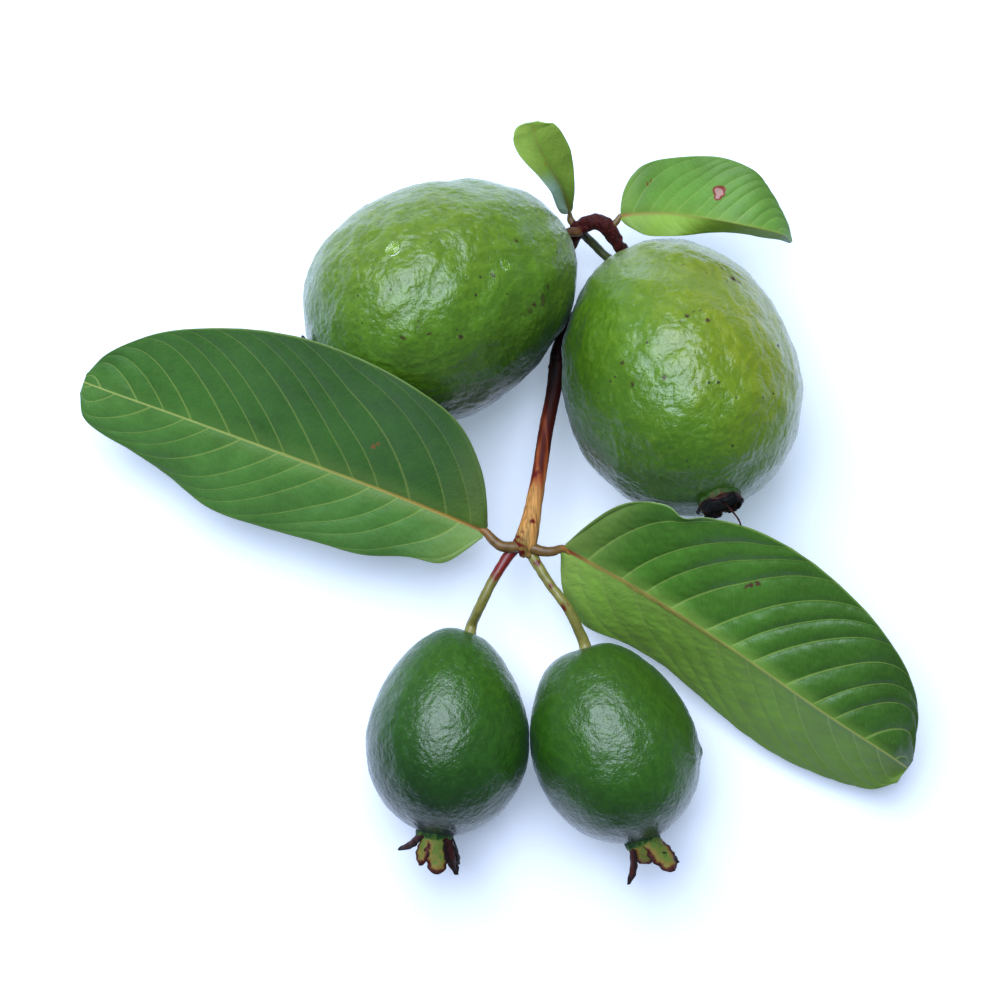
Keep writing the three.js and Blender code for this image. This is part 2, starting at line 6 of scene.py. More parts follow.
import bpy
import numpy as np
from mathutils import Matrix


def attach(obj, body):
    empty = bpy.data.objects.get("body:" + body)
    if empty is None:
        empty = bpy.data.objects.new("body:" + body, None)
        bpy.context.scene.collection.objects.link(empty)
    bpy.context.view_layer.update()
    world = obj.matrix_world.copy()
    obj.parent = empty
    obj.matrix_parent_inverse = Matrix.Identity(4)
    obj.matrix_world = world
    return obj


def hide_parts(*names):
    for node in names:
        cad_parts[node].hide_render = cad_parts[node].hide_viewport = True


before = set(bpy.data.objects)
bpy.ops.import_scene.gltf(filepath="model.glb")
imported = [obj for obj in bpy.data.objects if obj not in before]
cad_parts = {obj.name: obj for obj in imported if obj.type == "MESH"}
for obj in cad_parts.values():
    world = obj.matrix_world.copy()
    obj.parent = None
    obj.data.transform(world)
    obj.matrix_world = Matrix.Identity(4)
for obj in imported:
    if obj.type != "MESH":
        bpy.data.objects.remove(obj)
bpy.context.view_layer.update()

# Camera, floor and light
# The camera looks straight down on the sprig from 80 cm, through a lens that takes in 30 cm of the
# surface. The light is a wide soft window of sky overhead, a little towards the upper left.
# Where the middle of the view lies in the sprig's own frame. The places below are measured from it.
SPRIG_SHIFT = np.array([0.3, 2.4, 0.0])
CAMERA_HEIGHT = 800.0
VIEW_WIDTH = 300.0
SENSOR_WIDTH = 36.0
NEAREST_SEEN_M = 0.05
FLOOR_REACH_M = 4
SKY_PLACE_M = np.array([-0.2, 0.5, 1.15])
SKY_WIDTH_M = 1.05
SKY_WATTS = 30.0


def linear(hex_colour):
    """An sRGB hex colour as linear red, green, blue and 1: a straight line, then a power of 2.4."""
    parts = [int(hex_colour[i:i + 2], 16) / 255 for i in (1, 3, 5)]
    return [c / 12.92 if c <= 0.04045 else ((c + 0.055) / 1.055) ** 2.4 for c in parts] + [1.0]


def connect(tree, node, links):
    """Gives inputs plain values or other nodes' outputs. A node stands for its first output in use."""
    for socket, value in links.items():
        if isinstance(value, bpy.types.Node):
            value = next(output for output in value.outputs if output.enabled)
        if isinstance(value, bpy.types.NodeSocket):
            tree.links.new(value, node.inputs[socket])
        else:
            node.inputs[socket].default_value = value


def start_material(name, sockets):
    """A new material with its shader's plain values set, and the node tree and shader to build on."""
    material = bpy.data.materials.new(name)
    material.use_nodes = True
    shader = material.node_tree.nodes["Principled BSDF"]
    connect(material.node_tree, shader, sockets)
    return material, material.node_tree, shader


camera = bpy.data.objects.new("camera", bpy.data.cameras.new("camera"))
camera.data.sensor_width = SENSOR_WIDTH
camera.data.lens = SENSOR_WIDTH * CAMERA_HEIGHT / VIEW_WIDTH
camera.data.clip_start = NEAREST_SEEN_M
camera.location = (SPRIG_SHIFT + [0, 0, CAMERA_HEIGHT]) / 1000
bpy.context.scene.collection.objects.link(camera)
bpy.context.scene.camera = camera

# A white acrylic sheet lit a little from below, with a breath of blue that the fruit pick up on their rims.
board, _, _ = start_material("lit_white_sheet", {
    "Roughness": 0.9,
    "Base Color": linear("#eef3fb"),
    "Emission Color": linear("#cfe0fa"),
    "Emission Strength": 0.34,
})
floor_mesh = bpy.data.meshes.new("floor")
floor_corners = [(x * FLOOR_REACH_M, y * FLOOR_REACH_M, 0) for x, y in ((-1, -1), (1, -1), (1, 1), (-1, 1))]
floor_mesh.from_pydata(floor_corners, [], [(0, 1, 2, 3)])
floor_mesh.materials.append(board)
floor = bpy.data.objects.new("floor", floor_mesh)
bpy.context.scene.collection.objects.link(floor)

world = bpy.data.worlds.new("pale_room")
world.use_nodes = True
world.node_tree.nodes["Background"].inputs["Color"].default_value = linear("#bcd2f5")
world.node_tree.nodes["Background"].inputs["Strength"].default_value = 0.24
bpy.context.scene.world = world
bpy.context.scene.view_settings.view_transform = "Standard"

# The sky window is a square soft box, turned to face the middle of the sprig.
lamp = bpy.data.lights.new("sky_window", "AREA")
lamp.size = SKY_WIDTH_M
lamp.energy = SKY_WATTS
lamp.color = linear("#dfeaff")[:3]
sky_window = bpy.data.objects.new("sky_window", lamp)
sky_window.location = SKY_PLACE_M
sky_window.rotation_euler = (
    math.atan2(math.hypot(SKY_PLACE_M[0], SKY_PLACE_M[1]), SKY_PLACE_M[2]),
    0,
    math.atan2(-SKY_PLACE_M[1], -SKY_PLACE_M[0]) - math.pi / 2,
)
bpy.context.scene.collection.objects.link(sky_window)


# The fruit
# Four guavas, the larger pair about to turn and the smaller pair much younger. Each is a fleshy berry
# with a waxy skin full of small pits, egg-shaped, narrower at the stalk, with faint ribs round the calyx.
LARGE_LEFT = dict(middle=(-16.2, 58.5, 32.7), bearing=28.3, dip=15, half_length=41.3, radius=33.2,
                  taper=-0.121, blunt=0.068, socket=1.4, socket_tilt=0.0, shoulder=0.0, rib_turn=20)
LARGE_RIGHT = dict(middle=(51.7, 35.2, 34.7), bearing=105.5, dip=27, half_length=40.8, radius=34.2,
                   taper=-0.041, blunt=0.028, socket=1.4, socket_tilt=0.0, shoulder=1.6, rib_turn=75)
SMALL_LEFT = dict(middle=(-15.0, -67.2, 23.1), bearing=85.3, dip=2, half_length=30.2, radius=23.5,
                  taper=-0.144, blunt=-0.038, socket=0.8, socket_tilt=-0.2, shoulder=0.0, rib_turn=10)
SMALL_RIGHT = dict(middle=(32.9, -70.8, 23.52), bearing=110.8, dip=3, half_length=29.3, radius=24.0,
                   taper=-0.084, blunt=0.027, socket=0.8, socket_tilt=-0.1, shoulder=1.1, rib_turn=-14)
# Skin relief: height and wavelength of the broad dents, of the bumps and of the fine grain.
LARGE_RELIEF = dict(dent=0.3, dent_wave=11.0, bump=0.08, bump_wave=3.0, fine=0.034, fine_wave=1.5)
SMALL_RELIEF = dict(dent=0.1, dent_wave=7.0, bump=0.04, bump_wave=2.4, fine=0.022, fine_wave=1.3)
# Corky scars where leaves rubbed: place on the skin, radius and, where a scar is faint, its strength.
LARGE_LEFT_SCARS = [
    (-26.4, 44.9, 66.5, 0.8), (-19.3, 45.8, 66.5, 0.7), (-10.5, 44.8, 63.9, 0.8), (-8.9, 45.6, 63.6, 0.5),
    (12.3, 56.2, 51.0, 1.7, 0.8), (8.4, 52.8, 54.2, 1.4, 0.6), (13.5, 60.1, 50.3, 0.7),
    (9.6, 54.6, 53.0, 0.7), (4.7, 72.4, 55.5, 0.4), (-35.7, 69.9, 61.8, 0.4), (-3.5, 42.4, 59.3, 0.4),
    (15.9, 70.1, 46.2, 0.5), (17.7, 75.1, 40.5, 0.4),
]
LARGE_RIGHT_SCARS = [
    (65.7, 62.7, 50.4, 1.3), (67.2, 61.5, 50.7, 0.8), (62.5, 65.4, 48.9, 0.6), (51.2, 65.9, 52.2, 0.5),
    (51.5, 50.6, 65.3, 0.7), (53.4, 51.9, 64.5, 0.5), (49.5, 48.7, 66.1, 0.5), (47.2, 46.7, 66.8, 0.5),
    (57.2, 49.4, 65.5, 0.6), (55.2, 52.2, 64.2, 0.4), (45.0, 33.4, 69.9, 0.8), (36.2, 31.9, 66.4, 0.7),
    (77.4, 43.0, 57.1, 0.6), (80.0, 41.4, 54.5, 0.5), (33.7, 37.8, 64.2, 0.5), (32.2, 54.5, 55.7, 0.4),
]
# A little wart on the small right fruit's flank: place, radius, height.
WART = (58.3, -72.9, 25.5, 2.2, 0.7)
# The egg's finer form, as shares of its radius, angles from the stalk or calyx end, and the neck's depth.
RIB_HEIGHT = 0.016
RIB_SPREAD = 1.1
LUMP_HEIGHT = 0.007
SHOULDER_ANGLE = 0.5
SHOULDER_SPREAD = 0.3
SOCKET_ANGLE = 0.16
NECK_ANGLE = 0.24
NECK_DEPTH = 0.8
# The skin's patterns: broad clouds of colour, small pits, breathing pores, corky specks and their drifts.
CLOUD_SIZE = 11
PIT_SIZE = 1.6
PORE_SPACING = 1.3
SPECK_SPACING = 3.6
DRIFT_SIZE = 14


def put_mesh(name, points, faces, material):
    """An object at the origin from points in millimetres, turned right side out by its volume's sign."""
    corners = np.array([[f[0], f[1], f[2]] for f in faces])
    fourth = np.array([[f[0], f[2], f[-1]] for f in faces])
    both = np.concatenate([corners, fourth])
    first, second, third = (points[both[:, k]] for k in range(3))
    volume = np.einsum("ij,ij->i", first, np.cross(second, third)).sum()
    if volume < 0:
        faces = [f[::-1] for f in faces]
    mesh = bpy.data.meshes.new(name)
    mesh.from_pydata((points + SPRIG_SHIFT) / 1000, [], faces)
    mesh.polygons.foreach_set("use_smooth", np.ones(len(faces), bool))
    mesh.materials.append(material)
    made = bpy.data.objects.new(name, mesh)
    bpy.context.scene.collection.objects.link(made)
    return made


def give_values(piece, name, values):
    """A number for each point of the mesh, which its material reads by name."""
    attribute = piece.data.attributes.new(name, "FLOAT", "POINT")
    attribute.data.foreach_set("value", np.ascontiguousarray(values, dtype=np.float32))


def add(tree, kind, links=None, stops=(), **settings):
    """Adds one shader node with its settings and links. Stops are a colour ramp's places and hex colours."""
    made = tree.nodes.new("ShaderNode" + kind)
    for name, value in settings.items():
        setattr(made, name, value)
    if stops:
        ramp = made.color_ramp.elements
        for place, _ in stops[1:-1]:
            ramp.new(place)
        for element, (place, colour) in zip(ramp, stops):
            element.position = place
            element.color = linear(colour)
    connect(tree, made, links or {})
    return made


def turn_matrix(fruit, turn=0.0):
    """Turns a fruit's axes, stem end along X, into the sprig's: spin about the axis, dip, bearing."""
    b, d, r = np.radians([fruit["bearing"], fruit["dip"], turn])
    about_z = np.array([[np.cos(b), -np.sin(b), 0], [np.sin(b), np.cos(b), 0], [0, 0, 1]])
    about_y = np.array([[np.cos(d), 0, np.sin(d)], [0, 1, 0], [-np.sin(d), 0, np.cos(d)]])
    about_x = np.array([[1, 0, 0], [0, np.cos(r), -np.sin(r)], [0, np.sin(r), np.cos(r)]])
    return about_z @ about_y @ about_x


def egg(fruit, t, turn):
    """The fruit's smooth form. t runs from 0 at the stalk to pi at the calyx, turn runs round it. Length
    is a cosine, girth a sine with a taper, and the socket, shoulder and neck are bell curves in t."""
    c = np.cos(t)
    ribs = RIB_HEIGHT * np.cos(5 * turn) * np.exp(-((np.pi - t) / RIB_SPREAD) ** 2)
    lumps = LUMP_HEIGHT * (np.sin(3 * turn + 2.2 * c) + np.cos(2 * turn - 4 * c)) * np.sin(t) ** 2
    girth = fruit["radius"] * np.sin(t) * (1 + fruit["taper"] * c + fruit["blunt"] * c * c)
    girth = girth * (1 + ribs + lumps)
    off_socket = t ** 2 + fruit["socket_tilt"] ** 2 - 2 * t * fruit["socket_tilt"] * np.cos(turn)
    along = (fruit["half_length"] * c
             + fruit["shoulder"] * np.exp(-((t - SHOULDER_ANGLE) / SHOULDER_SPREAD) ** 2)
             - fruit["socket"] * np.exp(-off_socket / SOCKET_ANGLE ** 2)
             - NECK_DEPTH * np.exp(-((np.pi - t) / NECK_ANGLE) ** 2))
    return np.stack([along + 0 * girth, girth * np.cos(turn), girth * np.sin(turn)], -1)


def swell(points, wavelength, seed, waves=48, spread=1.5):
    """Smooth random relief, mostly within -1 and 1: a sum of sine waves in random directions, whose
    lengths are spread about one wavelength and whose heights go with their lengths."""
    dice = np.random.default_rng(seed)
    way = dice.normal(size=(waves, 3))
    way /= np.linalg.norm(way, axis=1)[:, None]
    ratio = spread ** dice.uniform(-1, 1, waves)
    phase = dice.uniform(0, 2 * np.pi, waves)
    total = np.zeros(points.shape[:-1])
    for w, r, p in zip(way, ratio, phase):
        total += r * np.sin(2 * np.pi * (points @ w) / (wavelength * r) + p)
    return 0.6 * total / np.sqrt(waves / 2)


def ring_faces(rings, sides):
    """Faces of closed rings, numbered ring by ring, with a single point at either end added last."""
    ring, side = np.meshgrid(np.arange(rings - 1), np.arange(sides), indexing="ij")
    after = (side + 1) % sides
    quads = np.stack([ring * sides + side, ring * sides + after,
                      (ring + 1) * sides + after, (ring + 1) * sides + side], -1)
    k = np.arange(sides)
    first = np.stack([np.full(sides, rings * sides), (k + 1) % sides, k], -1)
    last = (rings - 1) * sides
    end = np.stack([np.full(sides, rings * sides + 1), last + k, last + (k + 1) % sides], -1)
    return quads.reshape(-1, 4).tolist() + first.tolist() + end.tolist()


def nearness(points, marks, ragged=0.7):
    """How much each point belongs to a list of round marks (place, radius and, if not 1, strength): all
    inside, none outside, falling in a straight line with distance at a ragged edge."""
    total = np.zeros(len(points))
    frayed = ragged * swell(points, 1.6, 5, 24)
    for x, y, z, radius, *strength in marks:
        away = np.linalg.norm(points - np.array([x, y, z]), axis=1) / radius
        total = np.maximum(total, np.clip(2.2 - 2 * away + frayed, 0, 1) * (strength or [1])[0])
    return total


def make_fruit(name, fruit, relief, material, seed, rings, sides, scars=(), wart=None):
    """The egg with its skin relief: broad dents are plain swell. The bumps are swell drawn out along the
    fruit and bent by a slower swell, flattened on top by a tanh and creased by an absolute value. It is
    flat where it stands."""
    t = np.pi * (np.arange(rings) + 1) / (rings + 1)
    turn = 2 * np.pi * np.arange(sides) / sides
    tt, uu = np.meshgrid(t, turn, indexing="ij")
    ends = egg(fruit, np.array([0.0, np.pi]), np.array([0.0, 0.0]))
    own = np.concatenate([egg(fruit, tt, uu).reshape(-1, 3), ends])
    outward = own / np.array([fruit["half_length"], fruit["radius"], fruit["radius"]]) ** 2
    outward /= np.linalg.norm(outward, axis=1)[:, None]
    share = np.concatenate([tt.ravel(), [0, np.pi]]) / np.pi
    calm = 0.3 + 0.7 * np.sin(np.pi * share) ** 0.5
    bent = own * [0.7, 1, 1] + 1.0 * np.stack([swell(own, 11, seed + k) for k in (7, 8, 9)], -1)
    bumps = np.tanh(2.0 * swell(bent, relief["bump_wave"], seed + 1, 60, 1.7))
    creases = np.abs(swell(bent, relief["bump_wave"] * 0.8, seed + 2, 60, 1.5))
    height = relief["dent"] * swell(own, relief["dent_wave"], seed) + relief["bump"] * (bumps - 0.9 * creases)
    height += relief["fine"] * swell(bent, relief["fine_wave"], seed + 3)
    own = own + outward * (calm * height - relief["dent"] * 0.5)[:, None]
    points = own @ turn_matrix(fruit, fruit["rib_turn"]).T + fruit["middle"]
    if wart:
        away = np.linalg.norm(points - np.array(wart[:3]), axis=1) / wart[3]
        points += (points - fruit["middle"]) / fruit["radius"] * (wart[4] * np.exp(-away ** 2))[:, None]
    points[:, 2] = np.maximum(points[:, 2], 0.0)
    piece = put_mesh(name, points, ring_faces(rings, sides), material)
    give_values(piece, "from_stalk", share)
    give_values(piece, "blemish", nearness(points, scars))
    # How sunk each point lies in the relief. The skin paints shade there.
    give_values(piece, "hollow", np.clip(0.5 - 0.4 * bumps + 0.5 * creases, 0, 1))
    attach(piece, "root")
    return piece


def guava_skin(name, fruit, light_way, shaded, body, sunned, stalk_end, calyx_end, pale, scar,
               grain, roughness, specks):
    """Waxy skin of a living guava: chlorophyll green, yellower towards light_way and darker and dimmer on the
    far side, partly a real sun-side tint and partly painted shade, flecked with paler green, with painted
    shade in its hollows, darker breathing pores and corky specks. Its gloss is a thin wax layer over cells,
    and a faint bloom on the wax shows bluish along the rim."""
    material, tree, shader = start_material(name, {
        "IOR": 1.45, "Specular IOR Level": 0.2, "Coat Weight": 0.8, "Coat Roughness": 0.15,
        "Sheen Weight": 0.07, "Sheen Roughness": 0.3, "Sheen Tint": linear("#a9c8f4"),
    })
    place = add(tree, "TexCoord").outputs["Object"]
    along, hollow, mark = (
        add(tree, "Attribute", attribute_name=value_name).outputs["Fac"]
        for value_name in ("from_stalk", "hollow", "blemish")
    )
    way = np.array(light_way) / np.linalg.norm(light_way)
    centre = float(way @ (np.array(fruit["middle"]) + SPRIG_SHIFT)) / 1000
    broad, small = (
        add(tree, "TexNoise", {"Vector": place, "Scale": 1000 / (size * grain), "Detail": 4.0,
                               "Roughness": 0.6})
        for size in (CLOUD_SIZE, PIT_SIZE)
    )
    side = add(tree, "VectorMath", {0: place, 1: tuple(way)}, operation="DOT_PRODUCT")
    # lit runs from the side turned from light_way to the side towards it: the colour ramp below paints shade
    # at the far end and a partly real sun-side yellow at the near end.
    lit = add(tree, "MapRange", {
        "Value": side,
        "From Min": centre - fruit["radius"] / 1000,
        "From Max": centre + fruit["radius"] / 1000,
    })
    uneven = add(tree, "Math", {0: broad, 1: 0.34, 2: -0.17}, operation="MULTIPLY_ADD")
    sun = add(tree, "Math", {0: lit, 1: uneven}, operation="ADD")
    near_stalk = add(tree, "MapRange", {"Value": along, "From Min": 0.36, "From Max": 0.03, "To Max": 0.7},
                     interpolation_type="SMOOTHSTEP")
    near_calyx = add(tree, "MapRange", {"Value": along, "From Min": 0.68, "From Max": 0.98, "To Max": 0.7},
                     interpolation_type="SMOOTHSTEP")
    fleck = add(tree, "MapRange", {"Value": small, "From Min": 0.52, "From Max": 0.78, "To Max": 0.3})
    # Painted shade: the relief's hollows and creases are darkened towards the shaded green.
    hollow_shade = add(tree, "MapRange", {"Value": hollow, "From Min": 0.35, "From Max": 1.0, "To Max": 0.25})
    # The pores are some 0.3 mm across. The corky specks come in drifts and are up to 0.9 mm across.
    pores = add(tree, "TexVoronoi", {"Vector": place, "Scale": 1000 / (PORE_SPACING * grain),
                                     "Randomness": 1.0})
    pore = add(tree, "MapRange", {"Value": pores, "From Min": 0.1, "From Max": 0.24, "To Min": 0.4,
                                  "To Max": 0.0})
    cork = add(tree, "TexVoronoi", {"Vector": place, "Scale": 1000 / (SPECK_SPACING * grain),
                                    "Randomness": 1.0})
    drift = add(tree, "TexNoise", {"Vector": place, "Scale": 1000 / DRIFT_SIZE, "Detail": 1.0})
    reach = add(tree, "MapRange", {"Value": drift, "From Min": 0.4, "From Max": 0.7, "To Max": 0.12 * specks})
    speck = add(tree, "Math", {0: cork, 1: reach}, operation="LESS_THAN")
    colour = add(tree, "ValToRGB", {"Fac": sun}, stops=((0, shaded), (0.5, body), (1, sunned)))
    for share, tint in ((near_stalk, stalk_end), (near_calyx, calyx_end), (fleck, pale), (hollow_shade, shaded),
                        (pore, shaded), (speck, "#33361a"), (mark, scar)):
        colour = add(tree, "Mix", {"Factor": share, "A": colour, "B": linear(tint)}, data_type="RGBA")
    # Painted shade: the side turned from light_way is dimmed to six tenths of its colour.
    painted_shade_dim = add(tree, "MapRange", {"Value": sun, "From Max": 0.55, "To Min": 0.6, "To Max": 1.0})
    toned = add(tree, "VectorMath", {0: colour, "Scale": painted_shade_dim}, operation="SCALE")
    gloss = add(tree, "MapRange", {"Value": small, "From Min": 0.3, "From Max": 0.7,
                                   "To Min": roughness - 0.06, "To Max": roughness + 0.1})
    dull = add(tree, "Math", {0: gloss, 1: mark}, operation="MAXIMUM")
    pits = add(tree, "Bump", {"Height": small, "Strength": 0.7, "Distance": 0.0005 * grain})
    skin = add(tree, "Bump", {"Height": pores, "Strength": 0.3, "Distance": 0.0002 * grain, "Normal": pits})
    connect(tree, shader, {"Base Color": toned, "Roughness": dull, "Normal": skin, "Coat Normal": skin})
    return material


# Each fruit's third value points to where its skin is drawn yellower. The far side and the underside take
# painted shade.
large_left_skin = guava_skin("waxy_skin_turning", LARGE_LEFT, (-0.3, 0.9, 0.3), "#24430c", "#527a14",
                             "#677f16", "#7a8a28", "#34601e", "#829c34", "#35240e", 1.0, 0.42, 1.0)
large_right_skin = guava_skin("waxy_skin_ripening", LARGE_RIGHT, (0.75, 0.6, 0.25), "#2b570a", "#5a8014",
                              "#818a14", "#7c8a2a", "#2b5416", "#8a9f38", "#3a240e", 1.0, 0.4, 1.0)
small_left_skin = guava_skin("waxy_skin_young", SMALL_LEFT, (0.35, 0.85, 0.3), "#0d2a08", "#244e0c",
                             "#366010", "#345e1e", "#103410", "#386622", "#20200f", 0.72, 0.42, 0.3)
small_right_skin = guava_skin("waxy_skin_younger", SMALL_RIGHT, (0.25, 0.85, 0.3), "#12320a", "#305c0e",
                              "#3a6012", "#345a1c", "#123812", "#386622", "#20200f", 0.72, 0.42, 0.3)

for fruit_name, fruit, relief, skin, seed, rings, sides, scars, wart in [
    ("guava_large_left", LARGE_LEFT, LARGE_RELIEF, large_left_skin, 11, 285, 340, LARGE_LEFT_SCARS, None),
    ("guava_large_right", LARGE_RIGHT, LARGE_RELIEF, large_right_skin, 23, 285, 340, LARGE_RIGHT_SCARS, None),
    ("guava_small_left", SMALL_LEFT, SMALL_RELIEF, small_left_skin, 37, 230, 270, (), None),
    ("guava_small_right", SMALL_RIGHT, SMALL_RELIEF, small_right_skin, 41, 230, 270, (), WART),
]:
    flesh = make_fruit(f"{fruit_name}_flesh", fruit, relief, skin, seed, rings, sides, scars, wart)
    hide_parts(fruit_name)


# The calyx crowns
# What is left of each flower: a short cup at the fruit's end with torn sepals round it. On the young
# fruit they are still fleshy and green inside their dry red-brown edges, on the old ones all dry.
LOBE_THICKNESS = 0.75
# Each sepal: where it stands round the rim in degrees, length, half width, lean, further bend, and
# how dry it is.
CROWNS = {
    "small_left": (SMALL_LEFT, dict(step=-1.5, rim=5.0, height=0.5, wall=1.0), [
        (20, 8.0, 3.0, 34, 34, 0.55), (56, 9.0, 1.8, 14, -8, 0.05), (108, 11.0, 3.2, 4, 0, 0.0),
        (150, 11.4, 2.6, 16, 8, 0.62), (196, 9.0, 2.8, 36, -34, 0.8)]),
    "small_right": (SMALL_RIGHT, dict(step=-2.0, rim=4.8, height=0.5, wall=1.0), [
        (30, 11.4, 1.7, 8, 40, 0.5), (76, 7.4, 2.9, -2, -40, 0.08), (128, 11.6, 3.4, 20, 4, 0.0),
        (160, 10.0, 2.6, 18, 4, 0.7), (275, 4.8, 3.6, 8, 4, 0.7)]),
    "large_right": (LARGE_RIGHT, dict(step=0.0, rim=5.7, height=0.7, wall=1.3), [
        (18, 3.2, 2.8, 24, 30, 0.5), (88, 2.6, 3.2, 10, -50, 0.5), (160, 3.2, 2.8, 30, -40, 0.4),
        (226, 2.4, 2.8, 18, 6, 0.5), (300, 2.4, 3.0, 12, 6, 0.5)]),
    "large_left": (LARGE_LEFT, dict(step=0.0, rim=5.6, height=0.8, wall=1.1), [
        (14, 3.4, 2.6, 60, 30, 0.3), (90, 2.8, 3.0, 0, -50, 0.5), (160, 3.6, 2.6, 20, 10, 0.5),
        (232, 3.8, 3.0, 24, 10, 0.5), (304, 4.0, 2.6, 30, -30, 0.5)]),
}


def shell_faces(rows, columns):
    """Faces of a closed sheet: an upper net, a lower net numbered after it, and the rim between."""
    i, j = np.meshgrid(np.arange(rows - 1), np.arange(columns - 1), indexing="ij")
    top = np.stack([i * columns + j, (i + 1) * columns + j,
                    (i + 1) * columns + j + 1, i * columns + j + 1], -1).reshape(-1, 4)
    rim = np.concatenate([np.arange(columns), np.arange(2, rows) * columns - 1,
                          rows * columns - 1 - np.arange(columns), np.arange(rows - 2, 0, -1) * columns])
    after = np.roll(rim, -1)
    count = rows * columns
    wall = np.stack([rim, after, after + count, rim + count], -1)
    return np.concatenate([top, top[:, ::-1] + count, wall]).tolist()


def sepal(at, length, half, lean, bend, dry, rim, height, seed, rows=40, columns=25):
    """A torn tongue from the rim: it leans out by an angle that grows along it, its width swells then
    closes as a root curve, and it is cupped across, with a ragged edge and a crumpled face that are both
    sums of sines. Also gives how dry each point is."""
    dice = np.random.default_rng(seed)
    outward = np.array([-np.cos(np.radians(at)), np.sin(np.radians(at)), 0.0])
    sideways = np.array([outward[1], -outward[0], 0.0])
    s = np.linspace(0, 1, rows)
    angle = np.radians(lean + bend * s)
    r = rim - 0.3 + np.concatenate([[0], np.cumsum(np.sin(angle[:-1]))]) * length / (rows - 1)
    z = height - 1.2 + np.concatenate([[0], np.cumsum(np.cos(angle[:-1]))]) * length / (rows - 1)
    ragged = 1 + 0.1 * np.sin(9 * s + dice.uniform(0, 6)) + 0.08 * np.sin(26 * s + dice.uniform(0, 6))
    width = half * (0.95 + 0.6 * s) * np.sqrt(np.maximum(1.03 - s ** 2.6, 0.02))
    width = width * np.where(s > 0.15, ragged, 1)
    v = np.linspace(-1, 1, columns)
    ss, vv = np.meshgrid(s, v, indexing="ij")
    cup = 0.3 * half * vv ** 2 * (1 - 0.5 * ss)
    crumple = 0.2 * np.sin(7 * ss + 3 * vv + dice.uniform(0, 6))
    crumple = crumple + 0.12 * np.sin(17 * ss - 6 * vv + dice.uniform(0, 6))
    cup += crumple * ss * (1 + dry)
    thick = LOBE_THICKNESS * (1 - 0.5 * ss) * (1 - 0.55 * vv ** 2)
    nets = []
    for side in (0.5, -0.5):
        out = r[:, None] - cup + side * thick * np.cos(angle)[:, None]
        up = z[:, None] - side * thick * np.sin(angle)[:, None]
        nets.append(outward * out[..., None] + sideways * (vv * width[:, None])[..., None]
                    + np.array([0, 0, 1.0]) * up[..., None])
    at_sides = np.abs(vv) ** 2.6 * np.clip(ss * 3, 0, 1)
    at_tip = np.clip((ss - 0.7) / 0.3, 0, 1) ** 1.5
    edge = (0.12 + 0.1 * ss + dry + 0.75 * np.maximum(at_sides, at_tip)).ravel()
    points = np.concatenate([net.reshape(-1, 3) for net in nets])
    return points, shell_faces(rows, columns), np.concatenate([edge, edge + 0.35])


def cup_form(crown, rings=26, sides=72):
    """The cup the sepals grow from: a profile turned round the axis, out along the back, up the outer
    wall, over the rim and down inside, with a wavy rim."""
    rim, height, wall = crown["rim"], crown["height"], crown["wall"]
    profile = np.array([
        [0.6 * rim, -1.6], [rim + 0.5, -1.6], [rim + 0.35, -0.4],
        [rim + 0.2, height * 0.7], [rim, height], [rim - wall * 0.6, height],
        [rim - wall, height * 0.7], [rim - wall - 0.5, 0.4], [0.4 * rim, 0.2],
    ])
    steps = np.linspace(0, len(profile) - 1, rings)
    r, z = (np.interp(steps, np.arange(len(profile)), profile[:, k]) for k in (0, 1))
    turn = 2 * np.pi * np.arange(sides) / sides
    wave = 1 + 0.04 * np.sin(5 * turn) + 0.025 * np.sin(13 * turn)
    level = z[:, None] + 0.2 * np.sin(4 * turn) * (z[:, None] > 0.5)
    ring = np.stack([r[:, None] * np.cos(turn) * wave, r[:, None] * np.sin(turn) * wave, level], -1)
    points = np.concatenate([ring.reshape(-1, 3), [[0, 0, -1.6], [0, 0, 0.1]]])
    edge = np.concatenate([np.repeat(np.clip((z + 0.4) / (height + 0.6), 0, 1) * 0.2, sides), [0, 0.9]])
    # Inside the rim the cup takes the darkest, nearly black end of the calyx colours: partly the withered
    # remains' own colour, partly painted shade in the hollow.
    inside = np.concatenate([np.repeat(steps > 4.6, sides), [False, True]])
    return points, ring_faces(rings, sides), np.where(inside, 1.0, edge)


def dry_calyx(name, colours):
    """Withered sepal: green at the fruit, leathery olive flesh beyond, papery red-brown along its edges,
    then nearly black. Matt, with a fibrous crumple."""
    material, tree, shader = start_material(name, {"IOR": 1.42, "Specular IOR Level": 0.25})
    place = add(tree, "TexCoord").outputs["Object"]
    cells = add(tree, "TexNoise", {"Vector": place, "Scale": 1000 / 1.5, "Detail": 5.0, "Roughness": 0.65})
    edge = add(tree, "Attribute", attribute_name="edge").outputs["Fac"]
    uneven = add(tree, "Math", {0: cells, 1: 0.7, 2: -0.35}, operation="MULTIPLY_ADD")
    dryness = add(tree, "Math", {0: edge, 1: uneven}, operation="ADD")
    colour = add(tree, "ValToRGB", {"Fac": dryness}, stops=list(zip((0, 0.14, 0.34, 0.56, 1), colours)))
    rough = add(tree, "MapRange", {"Value": cells, "To Min": 0.4, "To Max": 0.75})
    crumple = add(tree, "Bump", {"Height": cells, "Strength": 0.8, "Distance": 0.0005})
    connect(tree, shader, {"Base Color": colour, "Roughness": rough, "Normal": crumple})
    return material


young_calyx = dry_calyx("half_dry_calyx", ("#1c4018", "#56702a", "#7f6c30", "#4a180f", "#1a0a08"))
old_calyx = dry_calyx("withered_calyx", ("#2c4a1e", "#4a3a1c", "#5a2614", "#34120a", "#0d0706"))


